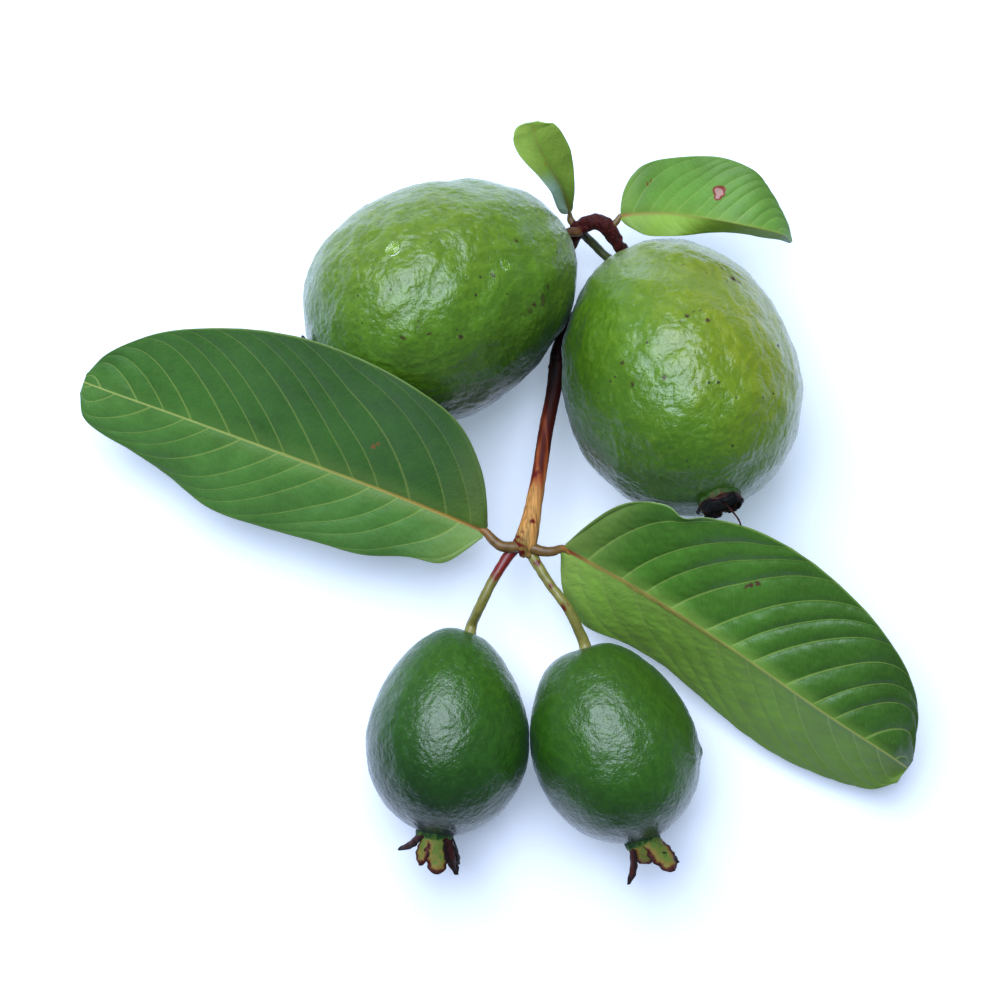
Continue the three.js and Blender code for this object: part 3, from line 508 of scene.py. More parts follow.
def join(forms):
    """Several forms as one: their points in a row, each form's faces counted on past the points before it."""
    starts = np.cumsum([0] + [len(form[0]) for form in forms])
    faces = [[index + start for index in face] for form, start in zip(forms, starts) for face in form[1]]
    return np.concatenate([form[0] for form in forms]), faces


def crown_matrix(fruit):
    """The crown's own axes: X to the fruit's right seen from outside, Y up, Z out along the fruit's axis."""
    return turn_matrix(fruit) @ np.array([[0, 0, -1.0], [-1, 0, 0], [0, 1, 0]])


for place_name, (fruit, crown, sepals) in CROWNS.items():
    parts = [cup_form(crown)]
    parts += [sepal(*values, crown["rim"], crown["height"], 60 + i) for i, values in enumerate(sepals)]
    crown_points, crown_faces = join(parts)
    pole = egg(fruit, np.array([np.pi]), np.array([0.0]))[0]
    axes = crown_matrix(fruit)
    root = turn_matrix(fruit) @ pole + fruit["middle"] + axes[:, 0] * crown["step"]
    calyx = young_calyx if "small" in place_name else old_calyx
    made_crown = put_mesh(f"calyx_{place_name}", crown_points @ axes.T + root, crown_faces, calyx)
    give_values(made_crown, "edge", np.concatenate([edge for _, _, edge in parts]))
    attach(made_crown, "root")
    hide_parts(f"crown_{place_name}")


# The twig
# The woody shoot: bark nearly black by the older node, red-brown along the middle and still orange-tan
# at the young node. It is knobbed where old leaves and fruit have dropped, and cut off at its end.
TWIG_ROUTE = [
    (6.9, -15.4, 25.8, 2.1), (7.3, -12.6, 26.2, 3.4), (8.6, -7.6, 26.0, 3.0), (9.8, -1.5, 25.0, 2.5),
    (11.6, 8.7, 23.5, 2.2), (13.4, 20.4, 22.0, 2.15), (15.5, 30.7, 20.0, 2.2), (16.6, 37.4, 18.6, 2.5),
    (17.5, 42.5, 17.4, 2.8), (18.6, 47.8, 15.2, 2.3), (19.3, 52.8, 12.6, 2.1), (19.0, 56.6, 10.4, 2.0),
    (17.7, 62.2, 9.0, 1.9), (18.4, 69.4, 10.2, 1.9), (20.8, 75.4, 15.2, 2.0), (23.0, 79.2, 18.6, 2.3),
    (26.3, 81.1, 20.8, 2.3), (29.6, 80.9, 21.4, 2.45), (32.0, 78.9, 20.4, 2.25), (34.3, 75.7, 17.8, 1.95),
    (36.8, 72.7, 14.8, 1.85),
]
TWIG_GROWTHS = [
    [(7.2, -14.4, 25.9, 1.8), (6.3, -16.6, 25.7, 0.9)], [(8.0, -14.2, 26.6, 1.6), (8.2, -16.8, 27.6, 0.7)],
    [(6.4, -13.6, 26.2, 1.7), (3.6, -12.4, 26.8, 1.1)], [(8.6, -13.8, 26.2, 1.7), (11.0, -14.3, 26.4, 1.2)],
    [(16.9, 40.6, 18.0, 1.5), (14.2, 38.6, 18.6, 0.6)], [(17.2, 41.8, 18.6, 1.6), (16.6, 41.6, 21.0, 0.9)],
    [(23.6, 79.6, 18.8, 1.7), (20.9, 80.9, 20.0, 1.2)], [(28.2, 81.2, 21.2, 1.7), (27.9, 81.6, 24.0, 1.0)],
    [(31.2, 80.2, 20.8, 1.5), (33.4, 80.4, 21.8, 0.9)],
]
BARK_VOXEL = 0.32
# The bark's colour from the young tip to the cut end, by share of the way.
BARK_TONES = [
    (0, "#8a6f38"), (0.08, "#c08c4a"), (0.19, "#bd8145"), (0.25, "#964a24"), (0.32, "#541a0e"),
    (0.42, "#34100c"), (0.58, "#170c0a"), (0.8, "#3c1413"), (1, "#481817"),
]
# Red flushes and a ringed bud scar at the young node: place and radius.
NODE_MARKS = [
    (4.6, -12.6, 27.2, 3.0), (5.3, -15.4, 26.9, 2.4), (11.2, -14.0, 27.0, 1.0), (9.4, -6.2, 28.6, 0.9),
    (10.6, 7.7, 25.5, 1.1), (6.6, -9.4, 28.4, 0.7), (8.9, -14.6, 27.6, 0.8),
]


def table_at(values, share):
    """Evenly spaced values read at a share from 0 to 1, along a cubic curve through all of them."""
    values = np.asarray(values, float)
    place = np.clip(share, 0, 1) * (len(values) - 1)
    i = np.minimum(np.floor(place).astype(int), len(values) - 2)
    f = place - i
    before, here, after, later = (values[np.clip(i + k, 0, len(values) - 1)] for k in (-1, 0, 1, 2))
    slope, slope_after, rise = (after - before) / 2, (later - here) / 2, after - here
    f = f.reshape(f.shape + (1,) * (values.ndim - 1))
    bend = 3 * rise - 2 * slope - slope_after
    return here + f * (slope + f * (bend + f * (slope + slope_after - 2 * rise)))


def tube(route, steps_each, sides, knobs=None, seed=0):
    """A round rod along a smooth curve through its points, with the ring's sideways axis kept square to
    the path. Knobs, given at even steps along it, swell its radius a little at random."""
    route = np.asarray(route, float)
    count = steps_each * (len(route) - 1) + 1
    share = np.linspace(0, 1, count)
    path = table_at(route, share)
    middle, radius = path[:, :3], path[:, 3]
    tangent = np.gradient(middle, axis=0)
    tangent /= np.linalg.norm(tangent, axis=1)[:, None]
    aside = np.cross(tangent, [0.13, 0.27, 1.0])
    aside /= np.linalg.norm(aside, axis=1)[:, None]
    upward = np.cross(aside, tangent)
    turn = 2 * np.pi * np.arange(sides) / sides
    ring = aside[:, None, :] * np.cos(turn)[None, :, None] + upward[:, None, :] * np.sin(turn)[None, :, None]
    skin = middle[:, None, :] + ring * radius[:, None, None]
    if knobs:
        skin = skin + ring * (table_at(knobs, share)[:, None] * swell(skin, 2.6, seed))[..., None]
    points = np.concatenate([skin.reshape(-1, 3), middle[[0]], middle[[-1]]])
    return points, ring_faces(count, sides), np.concatenate([np.repeat(share, sides), [0, 1]])


def fuse(piece, voxel, smoothing):
    """Grows overlapping forms into one skin: a voxel remesh at that size, then a light smoothing."""
    remesh = piece.modifiers.new("grow_together", "REMESH")
    remesh.mode = "VOXEL"
    remesh.voxel_size = voxel / 1000
    remesh.use_smooth_shade = True
    soften = piece.modifiers.new("soften", "SMOOTH")
    soften.factor = 0.5
    soften.iterations = smoothing
    whole = bpy.data.meshes.new_from_object(piece.evaluated_get(bpy.context.evaluated_depsgraph_get()))
    piece.modifiers.clear()
    piece.data = whole
    return piece


def young_bark():
    """Thin cork that dries from tan to red-brown to nearly black, its colours meeting in long streaks.
    Past the old node it breaks into warty rings about a millimetre apart."""
    material, tree, shader = start_material("young_guava_bark", {"IOR": 1.45, "Specular IOR Level": 0.16})
    place = add(tree, "TexCoord").outputs["Object"]
    from_tip = add(tree, "SeparateXYZ", {"Vector": place}).outputs["Y"]
    stretch = add(tree, "Mapping", {"Vector": place, "Scale": (1.0, 0.06, 1.0)})
    streaks = add(tree, "TexNoise", {"Vector": stretch, "Scale": 1000 / 2.4, "Detail": 3.0,
                                     "Roughness": 0.55})
    shift = add(tree, "Math", {0: streaks, 1: 0.06, 2: -0.03}, operation="MULTIPLY_ADD")
    along = add(tree, "Math", {0: from_tip, 1: shift}, operation="ADD")
    share = add(tree, "MapRange", {"Value": along, "From Min": -0.016, "From Max": 0.09})
    tone = add(tree, "ValToRGB", {"Fac": share}, stops=BARK_TONES)
    fibre = add(tree, "TexNoise", {"Vector": stretch, "Scale": 1000 / 0.6, "Detail": 3.0})
    streak = add(tree, "MapRange", {"Value": fibre, "From Min": 0.3, "From Max": 0.72, "To Min": 0.5,
                                    "To Max": 1.35})
    shade = add(tree, "VectorMath", {0: tone, "Scale": streak}, operation="SCALE")
    mark = add(tree, "Attribute", attribute_name="flush").outputs["Fac"]
    flushed = add(tree, "Mix", {"Factor": mark, "A": shade, "B": linear("#611510")}, data_type="RGBA")
    gloss = add(tree, "MapRange", {"Value": streaks, "To Min": 0.45, "To Max": 0.75})
    fibres = add(tree, "Bump", {"Height": fibre, "Strength": 0.5, "Distance": 0.0003})
    old = add(tree, "MapRange", {"Value": from_tip, "From Min": 0.055, "From Max": 0.075})
    warts = add(tree, "TexVoronoi", {"Vector": place, "Scale": 1000 / 1.1})
    rings = add(tree, "Bump", {"Strength": old, "Height": warts, "Distance": 0.00035, "Normal": fibres},
                invert=True)
    connect(tree, shader, {"Base Color": flushed, "Roughness": gloss, "Normal": rings})
    return material


twig_forms = [tube(TWIG_ROUTE, 14, 40, (0.06, 0.05, 0.06, 0.15, 0.3, 0.3), 71)]
twig_forms += [tube(growth, 8, 20) for growth in TWIG_GROWTHS]
twig = put_mesh("twig_wood", *join(twig_forms), young_bark())
fuse(twig, BARK_VOXEL, 3)
twig_points = np.empty(len(twig.data.vertices) * 3)
twig.data.vertices.foreach_get("co", twig_points)
give_values(twig, "flush", nearness(twig_points.reshape(-1, 3) * 1000 - SPRIG_SHIFT, NODE_MARKS))
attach(twig, "root")
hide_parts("twig")


# The fruit stalks
# Each fruit hangs on its own green stalk from the base of a leaf: short on the old pair, long and
# slender on the young pair, flushed red by the twig and spotted with red further on.
STALKS = {
    "large_left": (LARGE_LEFT, 1.6, [(23.2, 79.3, 18.7, 1.6), (22.6, 78.4, 20.6, 1.5)]),
    "large_right": (LARGE_RIGHT, 1.6, [
        (23.6, 79.2, 17.6, 1.5), (25.2, 77.6, 15.0, 1.35), (27.9, 75.2, 13.4, 1.3), (31.0, 72.2, 12.4, 1.3),
        (34.4, 69.8, 12.0, 1.35), (38.0, 69.4, 12.8, 1.4)]),
    "small_left": (SMALL_LEFT, 1.75, [(5.4, -12.8, 25.0, 1.8), (2.0, -16.8, 25.6, 1.65),
                                      (-2.2, -23.6, 26.4, 1.5), (-5.8, -31.0, 26.0, 1.5)]),
    "small_right": (SMALL_RIGHT, 1.8, [(8.0, -13.0, 25.2, 1.8), (10.3, -17.8, 26.0, 1.6),
                                       (14.6, -24.6, 27.0, 1.45), (19.9, -31.8, 27.2, 1.5)]),
}
# Red spots on the right young stalk: place and radius.
STALK_MARKS = [(11.0, -18.0, 27.4, 1.0), (14.9, -25.2, 28.3, 0.7), (18.4, -31.1, 28.5, 1.2),
               (8.6, -14.0, 27.0, 1.0)]


def green_stalk(name, root, root_end, middle, tip):
    """Young stalk: smooth green skin over fibre, streaked lengthwise, of one colour up to a slanting
    limit near its root and another beyond. Satin gloss."""
    material, tree, shader = start_material(name, {"IOR": 1.45, "Coat Weight": 0.15, "Coat Roughness": 0.2})
    place = add(tree, "TexCoord").outputs["Object"]
    along, spot = (
        add(tree, "Attribute", attribute_name=value_name).outputs["Fac"] for value_name in ("along", "spot")
    )
    patch = add(tree, "TexNoise", {"Vector": place, "Scale": 1000 / 2.6, "Detail": 3.0, "Roughness": 0.6})
    shift = add(tree, "Math", {0: patch, 1: 0.24, 2: -0.12}, operation="MULTIPLY_ADD")
    limit = add(tree, "Math", {0: along, 1: shift}, operation="ADD")
    stops = ((0, root), (root_end, root), (root_end + 0.07, middle), (1, tip))
    tone = add(tree, "ValToRGB", {"Fac": limit}, stops=stops)
    shade = add(tree, "MapRange", {"Value": patch, "From Min": 0.3, "From Max": 0.7, "To Min": 0.8,
                                   "To Max": 1.15})
    shaded = add(tree, "VectorMath", {0: tone, "Scale": shade}, operation="SCALE")
    tint = add(tree, "Mix", {"Factor": spot, "A": shaded, "B": linear("#641c12")}, data_type="RGBA")
    gloss = add(tree, "MapRange", {"Value": patch, "To Min": 0.32, "To Max": 0.52})
    bump = add(tree, "Bump", {"Height": patch, "Strength": 0.3, "Distance": 0.0003})
    connect(tree, shader, {"Base Color": tint, "Roughness": gloss, "Normal": bump})
    return material


old_stalk = green_stalk("old_green_stalk", "#2a1a12", 0.1, "#343a1c", "#46522a")
stalk_skins = {
    "large_left": green_stalk("scarred_brown_stalk", "#5a2a18", 0.3, "#6a4626", "#4a2418"),
    "large_right": old_stalk,
    "small_left": green_stalk("red_rooted_stalk", "#76190f", 0.33, "#76702f", "#86803f"),
    "small_right": green_stalk("spotted_green_stalk", "#8a6a35", 0.08, "#7e7a36", "#88803f"),
}

for place_name, (fruit, at_fruit, route) in STALKS.items():
    to_world = turn_matrix(fruit, fruit["rib_turn"])
    tilt = fruit["socket_tilt"]
    landing = egg(fruit, np.array([tilt]), np.array([0.0]))[0]
    near = to_world @ (landing + [3.0 * np.cos(tilt), 3.0 * np.sin(tilt), 0]) + fruit["middle"]
    sunk = to_world @ (landing + [-1.0, 0, 0]) + fruit["middle"]
    route = route + [(*near, at_fruit - 0.15), (*sunk, at_fruit + 0.25)]
    stalk_points, stalk_faces, stalk_share = tube(route, 12, 28, (0.06, 0.06), 83)
    stalk = put_mesh(f"stalk_{place_name}_green", stalk_points, stalk_faces, stalk_skins[place_name])
    give_values(stalk, "along", stalk_share)
    give_values(stalk, "spot", nearness(stalk_points, STALK_MARKS if place_name == "small_right" else ()))
    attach(stalk, "root")
    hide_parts(f"stalk_{place_name}")


# The leaves
# Leathery blades in opposite pairs, with a stout midrib and some fifteen side veins a side that run out
# level and loop forward at the margin. The blade puffs up between veins. The tip pair is young and curled.
BLADE_THICKNESS = 0.45
# How far side veins lag towards the margin and at its very edge, in shares of the blade's length.
MARGIN_LAG = 0.095
EDGE_LAG = 0.05
# The blade sinks this much along the midrib at its base, over this distance.
MIDRIB_SINK = 0.35
SINK_WIDTH = 1.2
# The crinkle between veinlets, as a share of the puff between veins, and its wavelength.
CRINKLE = 0.06
CRINKLE_SIZE = 3.2
# A tuck in the left margin: its share of the way along the blade, and how far it spreads.
TUCK_PLACE = 0.205
TUCK_SPREAD = 0.027
# Shares of the way along the midrib at which its rod on the underside is laid.
RIB_STATIONS = np.array([0.1, 0.2, 0.34, 0.5, 0.66, 0.8, 0.92, 0.985])
LARGE_LEAF_LEFT = dict(
    petiole=[(7.0, -13.2, 26.8, 1.7), (1.4, -13.6, 27.6, 1.6), (-1.6, -12.0, 27.4, 1.5)],
    midrib=[(-4.3, -9.2, 27.0), (-12.0, -6.0, 27.5), (-33.0, 2.4, 29.5), (-61.8, 13.0, 31.5),
            (-90.9, 23.6, 31.0), (-112.7, 31.3, 28.0), (-120.9, 34.3, 25.0)],
    right=dict(width=[2.0, 8.0, 17.0, 25.6, 29.8, 32.2, 32.7, 30.6, 26.4, 21.2, 14.4, 8.4, 2.8],
               height=[27, 37, 48, 58, 62.5, 63, 62, 57.5, 48.5, 39, 32, 28, 25], bow=1.12),
    left=dict(width=[2.0, 6.6, 13.3, 15.4, 19.6, 20.9, 22.2, 22.4, 17.6, 14.2, 12.2, 9.4, 3.6],
              height=[27, 27, 26, 25, 25, 24, 23, 22, 22, 22, 23, 24, 25], bow=1.2),
    rib=(1.25, 0.3), wave=0.7, waves=5.5, veins=13, slant=(0.95, 0.85), puff=(0.26, 0.36), tuck=0.0, rows=340,
    half=60)
LARGE_LEAF_RIGHT = dict(
    petiole=[(7.6, -13.4, 26.8, 1.7), (12.6, -14.9, 27.6, 1.5), (15.6, -14.8, 27.4, 1.4)],
    midrib=[(18.4, -14.1, 27.0), (25.3, -17.8, 29.0), (43.9, -28.2, 34.0), (68.2, -43.9, 36.0),
            (92.6, -60.8, 33.0), (111.7, -73.2, 26.0), (119.4, -78.6, 18.0)],
    left=dict(width=[1.8, 9.4, 19.0, 24.2, 27.4, 31.8, 33.0, 31.8, 28.8, 24.2, 16.8, 7.8, 3.0],
              height=[27, 38, 47, 53, 55, 53, 48, 44, 40, 34, 27, 22, 18], bow=1.1),
    right=dict(width=[1.8, 6.4, 12.6, 17.2, 15.8, 15.2, 16.8, 18.3, 18.2, 16.2, 13.6, 10.6, 5.4],
               height=[27, 22, 17, 13, 12, 11, 10, 9, 9, 9, 10, 13, 18], bow=0.95),
    rib=(1.15, 0.3), wave=0.5, waves=6.5, veins=12.4, slant=(0.58, 1.2), puff=(0.95, 0.45), tuck=2.3,
    rows=340, half=60)
SMALL_LEAF_RIGHT = dict(
    petiole=[(32.0, 79.4, 20.6, 1.1), (33.9, 81.2, 21.4, 1.0)],
    midrib=[(35.2, 82.9, 22.0), (38.4, 82.9, 26.0), (47.1, 82.1, 36.0), (58.8, 79.8, 44.0),
            (70.8, 77.3, 46.0), (79.9, 75.6, 42.0), (83.4, 74.0, 36.0)],
    left=dict(width=[1.4, 7.0, 12.2, 14.5, 15.7, 16.8, 17.5, 16.9, 14.8, 10.4, 5.2, 1.8, 0.6],
              height=[22, 24, 28, 34, 40, 44, 46, 46, 45, 43, 40, 37, 36], bow=1.0),
    right=dict(width=[1.2, 2.6, 4.4, 6.6, 6.8, 5.8, 3.7, 2.1, 1.3, 1.3, 1.0, 0.8, 0.5],
               height=[22, 24, 29, 35, 38, 39, 39, 38, 37, 36, 36, 36, 36], bow=1.0),
    rib=(0.7, 0.25), wave=0.3, waves=5, veins=12, slant=(0.75, 0.75), puff=(0.32, 0.1), tuck=0.0, rows=220,
    half=44,
    turned=lambda arc, reach: np.clip((arc - 0.93) * 20, 0, 1) * np.clip(0.4 - reach * 2, 0, 1))
SMALL_LEAF_LEFT = dict(
    petiole=[(21.8, 80.4, 19.4, 1.1), (20.6, 82.2, 19.6, 1.0)],
    midrib=[(20.4, 83.9, 20.0), (19.7, 85.4, 24.0), (17.8, 89.3, 33.0), (14.2, 94.3, 43.0),
            (10.8, 99.5, 51.0), (9.3, 103.2, 55.3), (8.9, 105.2, 57.6)],
    right=dict(width=[0.6, 1.2, 1.7, 2.7, 4.0, 5.8, 7.0, 7.3, 7.2, 6.8, 5.8, 4.0, 1.8],
               height=[20, 22, 28, 34, 39.5, 44.8, 49.6, 53, 55.2, 56.3, 57.2, 57.6, 57.8], bow=1.0),
    left=dict(width=[0.8, 2.6, 3.4, 3.7, 3.8, 4.2, 4.8, 5.7, 6.3, 6.4, 5.8, 4.4, 2.0],
              height=[20, 25, 32, 38, 43, 47, 51, 54, 55.6, 56.6, 57.3, 57.6, 57.8], bow=1.0),
    rib=(0.6, 0.25), wave=0.1, waves=3, veins=10, slant=(0.7, 0.7), puff=(0.04, 0.04), tuck=0.0, rows=200,
    half=36,
    turned=lambda arc, reach: np.clip((reach + 0.1) * 3, 0, 1) * np.clip((0.5 - arc) * 5, 0, 1))


def blade_net(leaf, share, reach):
    """The blade's middle surface. share runs along the midrib, crowding at both ends, and reach runs from
    -1 at the right margin to 1 at the left. A point is set off level from the midrib by its side's width,
    rises as a power of reach, and the margin waves. Also gives the level distance from the midrib."""
    midrib = np.asarray(leaf["midrib"], float)
    rib_point = table_at(midrib, share)
    tangent = table_at(midrib, share + 0.004) - table_at(midrib, share - 0.004)
    level = np.hypot(tangent[..., 0], tangent[..., 1])
    out = np.abs(reach)
    width, margin = (
        np.where(reach > 0, table_at(leaf["left"][what], share), table_at(leaf["right"][what], share))
        for what in ("width", "height")
    )
    bow = np.where(reach > 0, leaf["left"]["bow"], leaf["right"]["bow"])
    arc = (1 - np.cos(np.pi * share)) / 2
    tuck = np.maximum(reach, 0) ** 8 * np.exp(-((arc - TUCK_PLACE) / TUCK_SPREAD) ** 2)
    away = width * reach - leaf["tuck"] * tuck
    wave = leaf["wave"] * out ** 3 * np.sin(np.pi * share)
    wave = wave * np.sin(2 * np.pi * leaf["waves"] * share + np.where(reach > 0, 0, 2))
    points = np.stack([
        rib_point[..., 0] - away * tangent[..., 1] / level,
        rib_point[..., 1] + away * tangent[..., 0] / level,
        rib_point[..., 2] + (margin - rib_point[..., 2]) * out ** bow + wave,
    ], -1)
    return points, np.abs(away)


def make_leaf(name, leaf, material, rib_material, marks=()):
    """A closed sheet on the blade's surface. A vein's phase grows by one from vein to vein along the
    midrib, and lags towards the margin, so veins run forward and loop there. Between veins the blade
    puffs up as the root of a sine of the phase, and it sinks along the midrib as a bell curve."""
    rows, half = leaf["rows"], leaf["half"]
    share, reach = np.meshgrid(np.linspace(0, 1, rows), np.linspace(-1, 1, 2 * half + 1), indexing="ij")
    net, away = blade_net(leaf, share, reach)
    normal = np.cross(np.gradient(net, axis=0), np.gradient(net, axis=1))
    normal /= np.linalg.norm(normal, axis=2)[..., None]
    length = np.linalg.norm(np.diff(np.asarray(leaf["midrib"]), axis=0), axis=1).sum()
    out = np.abs(reach)
    arc = (1 - np.cos(np.pi * share)) / 2
    lag = away / length * np.where(reach > 0, *leaf["slant"]) + MARGIN_LAG * out ** 2 + EDGE_LAG * out ** 8
    lag = lag * (0.4 + 0.6 * np.minimum(arc / 0.4, 1))
    phase = leaf["veins"] * (arc - lag) + np.where(reach > 0, 0.15, 0.6)
    phase += 0.13 * np.sin(1.9 * phase + np.where(reach > 0, 1.0, 4.0))
    pillow = np.abs(np.sin(np.pi * phase)) ** 0.7
    window = np.clip(away / 3.0, 0, 1) * (1 - 0.6 * out ** 6)
    window = window * np.clip(6 * share, 0, 1) * np.clip(8 * (1 - share), 0, 1)
    crease = np.where(reach > 0, *leaf["puff"]) * window * (pillow - 0.6)
    crease = crease - MIDRIB_SINK * np.exp(-(away / SINK_WIDTH) ** 2) * (1 - arc)
    crinkle = CRINKLE * sum(leaf["puff"]) * swell(net, CRINKLE_SIZE, 91, 40, 1.6) * window
    net = net + normal * (crease + crinkle)[..., None]
    lift = BLADE_THICKNESS * (0.35 + 0.65 * np.clip((1 - out) * 8, 0, 1))[..., None] / 2
    points = np.concatenate([(net + normal * lift).reshape(-1, 3), (net - normal * lift).reshape(-1, 3)])
    blade = put_mesh(name, points, shell_faces(rows, 2 * half + 1), material)
    run = 0.7 * (away + arc * length)
    for value_name, values in (("vein_phase", phase), ("along_vein", run), ("from_midrib", away),
                               ("reach", reach), ("arc", arc)):
        give_values(blade, value_name, np.tile(values.ravel(), 2))
    turned = leaf["turned"](arc, reach) if "turned" in leaf else 0 * arc
    give_values(blade, "underside", np.concatenate([turned.ravel(), np.ones(arc.size)]))
    give_values(blade, "blemish", nearness(points, marks, 0.3))
    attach(blade, "root")
    # The midrib stands out below the blade, and its petiole runs on to the twig.
    rib_points = blade_net(leaf, RIB_STATIONS, np.full(len(RIB_STATIONS), 1e-6))[0]
    thick, thin = leaf["rib"]
    thickness = thick + (thin - thick) * (1 - np.cos(np.pi * RIB_STATIONS)) / 2
    start = leaf["midrib"][0]
    route = list(leaf["petiole"]) + [(start[0], start[1], start[2] - 0.4, thick)]
    route += [(x, y, z - 0.75 - r * 0.85, r) for (x, y, z), r in zip(rib_points, thickness)]
    rib_mesh, rib_faces, rib_share = tube(route, 14, 22, (0.05, 0.03), 97)
    rib = put_mesh(f"{name}_midrib", rib_mesh, rib_faces, rib_material)
    give_values(rib, "along", rib_share)
    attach(rib, "root")
    return blade


def leaf_blade(name, right_half, left_half, vein, rib_root, rib_base, rib_tip, under, roughness,
               vein_strength, ring, centre, gloss, tip_tone=1.0):
    """Leaf: a waxy upper cuticle over green cells, paler beneath. Side veins and midrib show yellow, a
    ladder of veinlets between them breaks the gloss, and the two halves differ in tone."""
    material, tree, shader = start_material(name, {"IOR": 1.45, "Specular IOR Level": gloss})
    place = add(tree, "TexCoord").outputs["Object"]
    reach, phase, away, arc, run, mark, below = (
        add(tree, "Attribute", attribute_name=value_name).outputs["Fac"]
        for value_name in ("reach", "vein_phase", "from_midrib", "arc", "along_vein", "blemish", "underside")
    )
    halves = add(tree, "MapRange", {"Value": reach, "From Min": -0.12, "From Max": 0.12})
    tone = add(tree, "Mix", {"Factor": halves, "A": linear(right_half), "B": linear(left_half)},
               data_type="RGBA")
    cloud = add(tree, "TexNoise", {"Vector": place, "Scale": 1000 / 14, "Detail": 5.0, "Roughness": 0.65})
    shade = add(tree, "MapRange", {"Value": cloud, "From Min": 0.3, "From Max": 0.7, "To Min": 0.8,
                                   "To Max": 1.18})
    outward = add(tree, "Math", {0: reach}, operation="ABSOLUTE")
    darker = add(tree, "MapRange", {"Value": outward, "From Min": 0.35, "From Max": 1.0, "To Min": 1.06,
                                    "To Max": 0.84})
    tipped = add(tree, "MapRange", {"Value": arc, "From Min": 0.35, "From Max": 1.0, "To Min": 1.0,
                                    "To Max": tip_tone})
    evened = add(tree, "Math", {0: shade, 1: tipped}, operation="MULTIPLY")
    dimmed = add(tree, "Math", {0: evened, 1: darker}, operation="MULTIPLY")
    clouded = add(tree, "VectorMath", {0: tone, "Scale": dimmed}, operation="SCALE")
    # Veinlets run across from vein to vein: cells half a panel wide and just under 2 mm along it.
    across = add(tree, "CombineXYZ", {"X": phase, "Y": run, "Z": halves})
    ladder = add(tree, "Mapping", {"Vector": across, "Scale": (2.0, 0.75, 9.0)})
    net = add(tree, "TexVoronoi", {"Vector": ladder, "Scale": 1.0}, feature="DISTANCE_TO_EDGE")
    veinlet = add(tree, "MapRange", {"Value": net, "From Max": 0.07, "To Min": 0.14 * vein_strength,
                                     "To Max": 0.0})
    # Side veins thin out towards the margin, which has a fine pale edge.
    from_vein = add(tree, "Math", {0: phase, 1: 0.5}, operation="PINGPONG")
    taper = add(tree, "MapRange", {"Value": outward, "From Min": 0.1, "From Max": 1.0, "To Min": 0.046,
                                   "To Max": 0.018})
    line = add(tree, "Math", {0: from_vein, 1: taper}, operation="DIVIDE")
    side_vein = add(tree, "MapRange", {"Value": line, "From Min": 0.3, "From Max": 1.1,
                                       "To Min": vein_strength, "To Max": 0.0},
                    interpolation_type="SMOOTHSTEP")
    margin = add(tree, "MapRange", {"Value": outward, "From Min": 0.98, "From Max": 0.997, "To Max": 0.4})
    # A yellow glow along the midrib and at the blade's base fades out over 6 mm and towards the tip, and the
    # midrib itself thins.
    glow_far = add(tree, "MapRange", {"Value": away, "From Min": 0.5, "From Max": 6.0, "To Min": 0.32,
                                      "To Max": 0.0}, interpolation_type="SMOOTHSTEP")
    glow_on = add(tree, "MapRange", {"Value": arc, "From Max": 0.8, "To Min": 1.0, "To Max": 0.1})
    glow_near = add(tree, "Math", {0: glow_far, 1: glow_on}, operation="MULTIPLY")
    young = add(tree, "MapRange", {"Value": arc, "From Max": 0.17, "To Min": 0.42, "To Max": 0.0},
                interpolation_type="SMOOTHSTEP")
    glow = add(tree, "Math", {0: glow_near, 1: young}, operation="MAXIMUM")
    rib_width = add(tree, "MapRange", {"Value": arc, "To Min": 0.62, "To Max": 0.24})
    rib_line = add(tree, "Math", {0: away, 1: rib_width}, operation="DIVIDE")
    rib = add(tree, "MapRange", {"Value": rib_line, "From Min": 0.5, "From Max": 1.2, "To Min": 0.9,
                                 "To Max": 0.0}, interpolation_type="SMOOTHSTEP")
    rib_tone = add(tree, "ValToRGB", {"Fac": arc},
                   stops=((0.02, rib_root), (0.075, rib_base), (0.55, rib_tip)))
    hurt = add(tree, "MapRange", {"Value": mark, "From Min": 0.05, "From Max": 0.4})
    scab = add(tree, "MapRange", {"Value": mark, "From Min": 0.75, "From Max": 0.95})
    scab_tone = add(tree, "Mix", {"Factor": scab, "A": linear(ring), "B": linear(centre)}, data_type="RGBA")
    colour = clouded
    for share, tint in ((veinlet, linear(vein)), (side_vein, linear(vein)), (margin, linear(vein)),
                        (glow, linear(vein)), (rib, rib_tone), (hurt, scab_tone), (below, linear(under))):
        colour = add(tree, "Mix", {"Factor": share, "A": colour, "B": tint}, data_type="RGBA")
    waxed = add(tree, "MapRange", {"Value": halves, "To Min": roughness[0], "To Max": roughness[1]})
    dull = add(tree, "Math", {0: cloud, 1: 0.3, 2: waxed}, operation="MULTIPLY_ADD")
    panel = add(tree, "MapRange", {"Value": net, "From Max": 0.3})
    relief = add(tree, "Bump", {"Height": panel, "Strength": 0.18, "Distance": 0.0002})
    grain = add(tree, "TexNoise", {"Vector": place, "Scale": 1000 / 0.6, "Detail": 2.0})
    fine = add(tree, "Bump", {"Height": grain, "Strength": 0.25, "Distance": 0.0002, "Normal": relief})
    connect(tree, shader, {"Base Color": colour, "Roughness": dull, "Normal": fine})
    return material


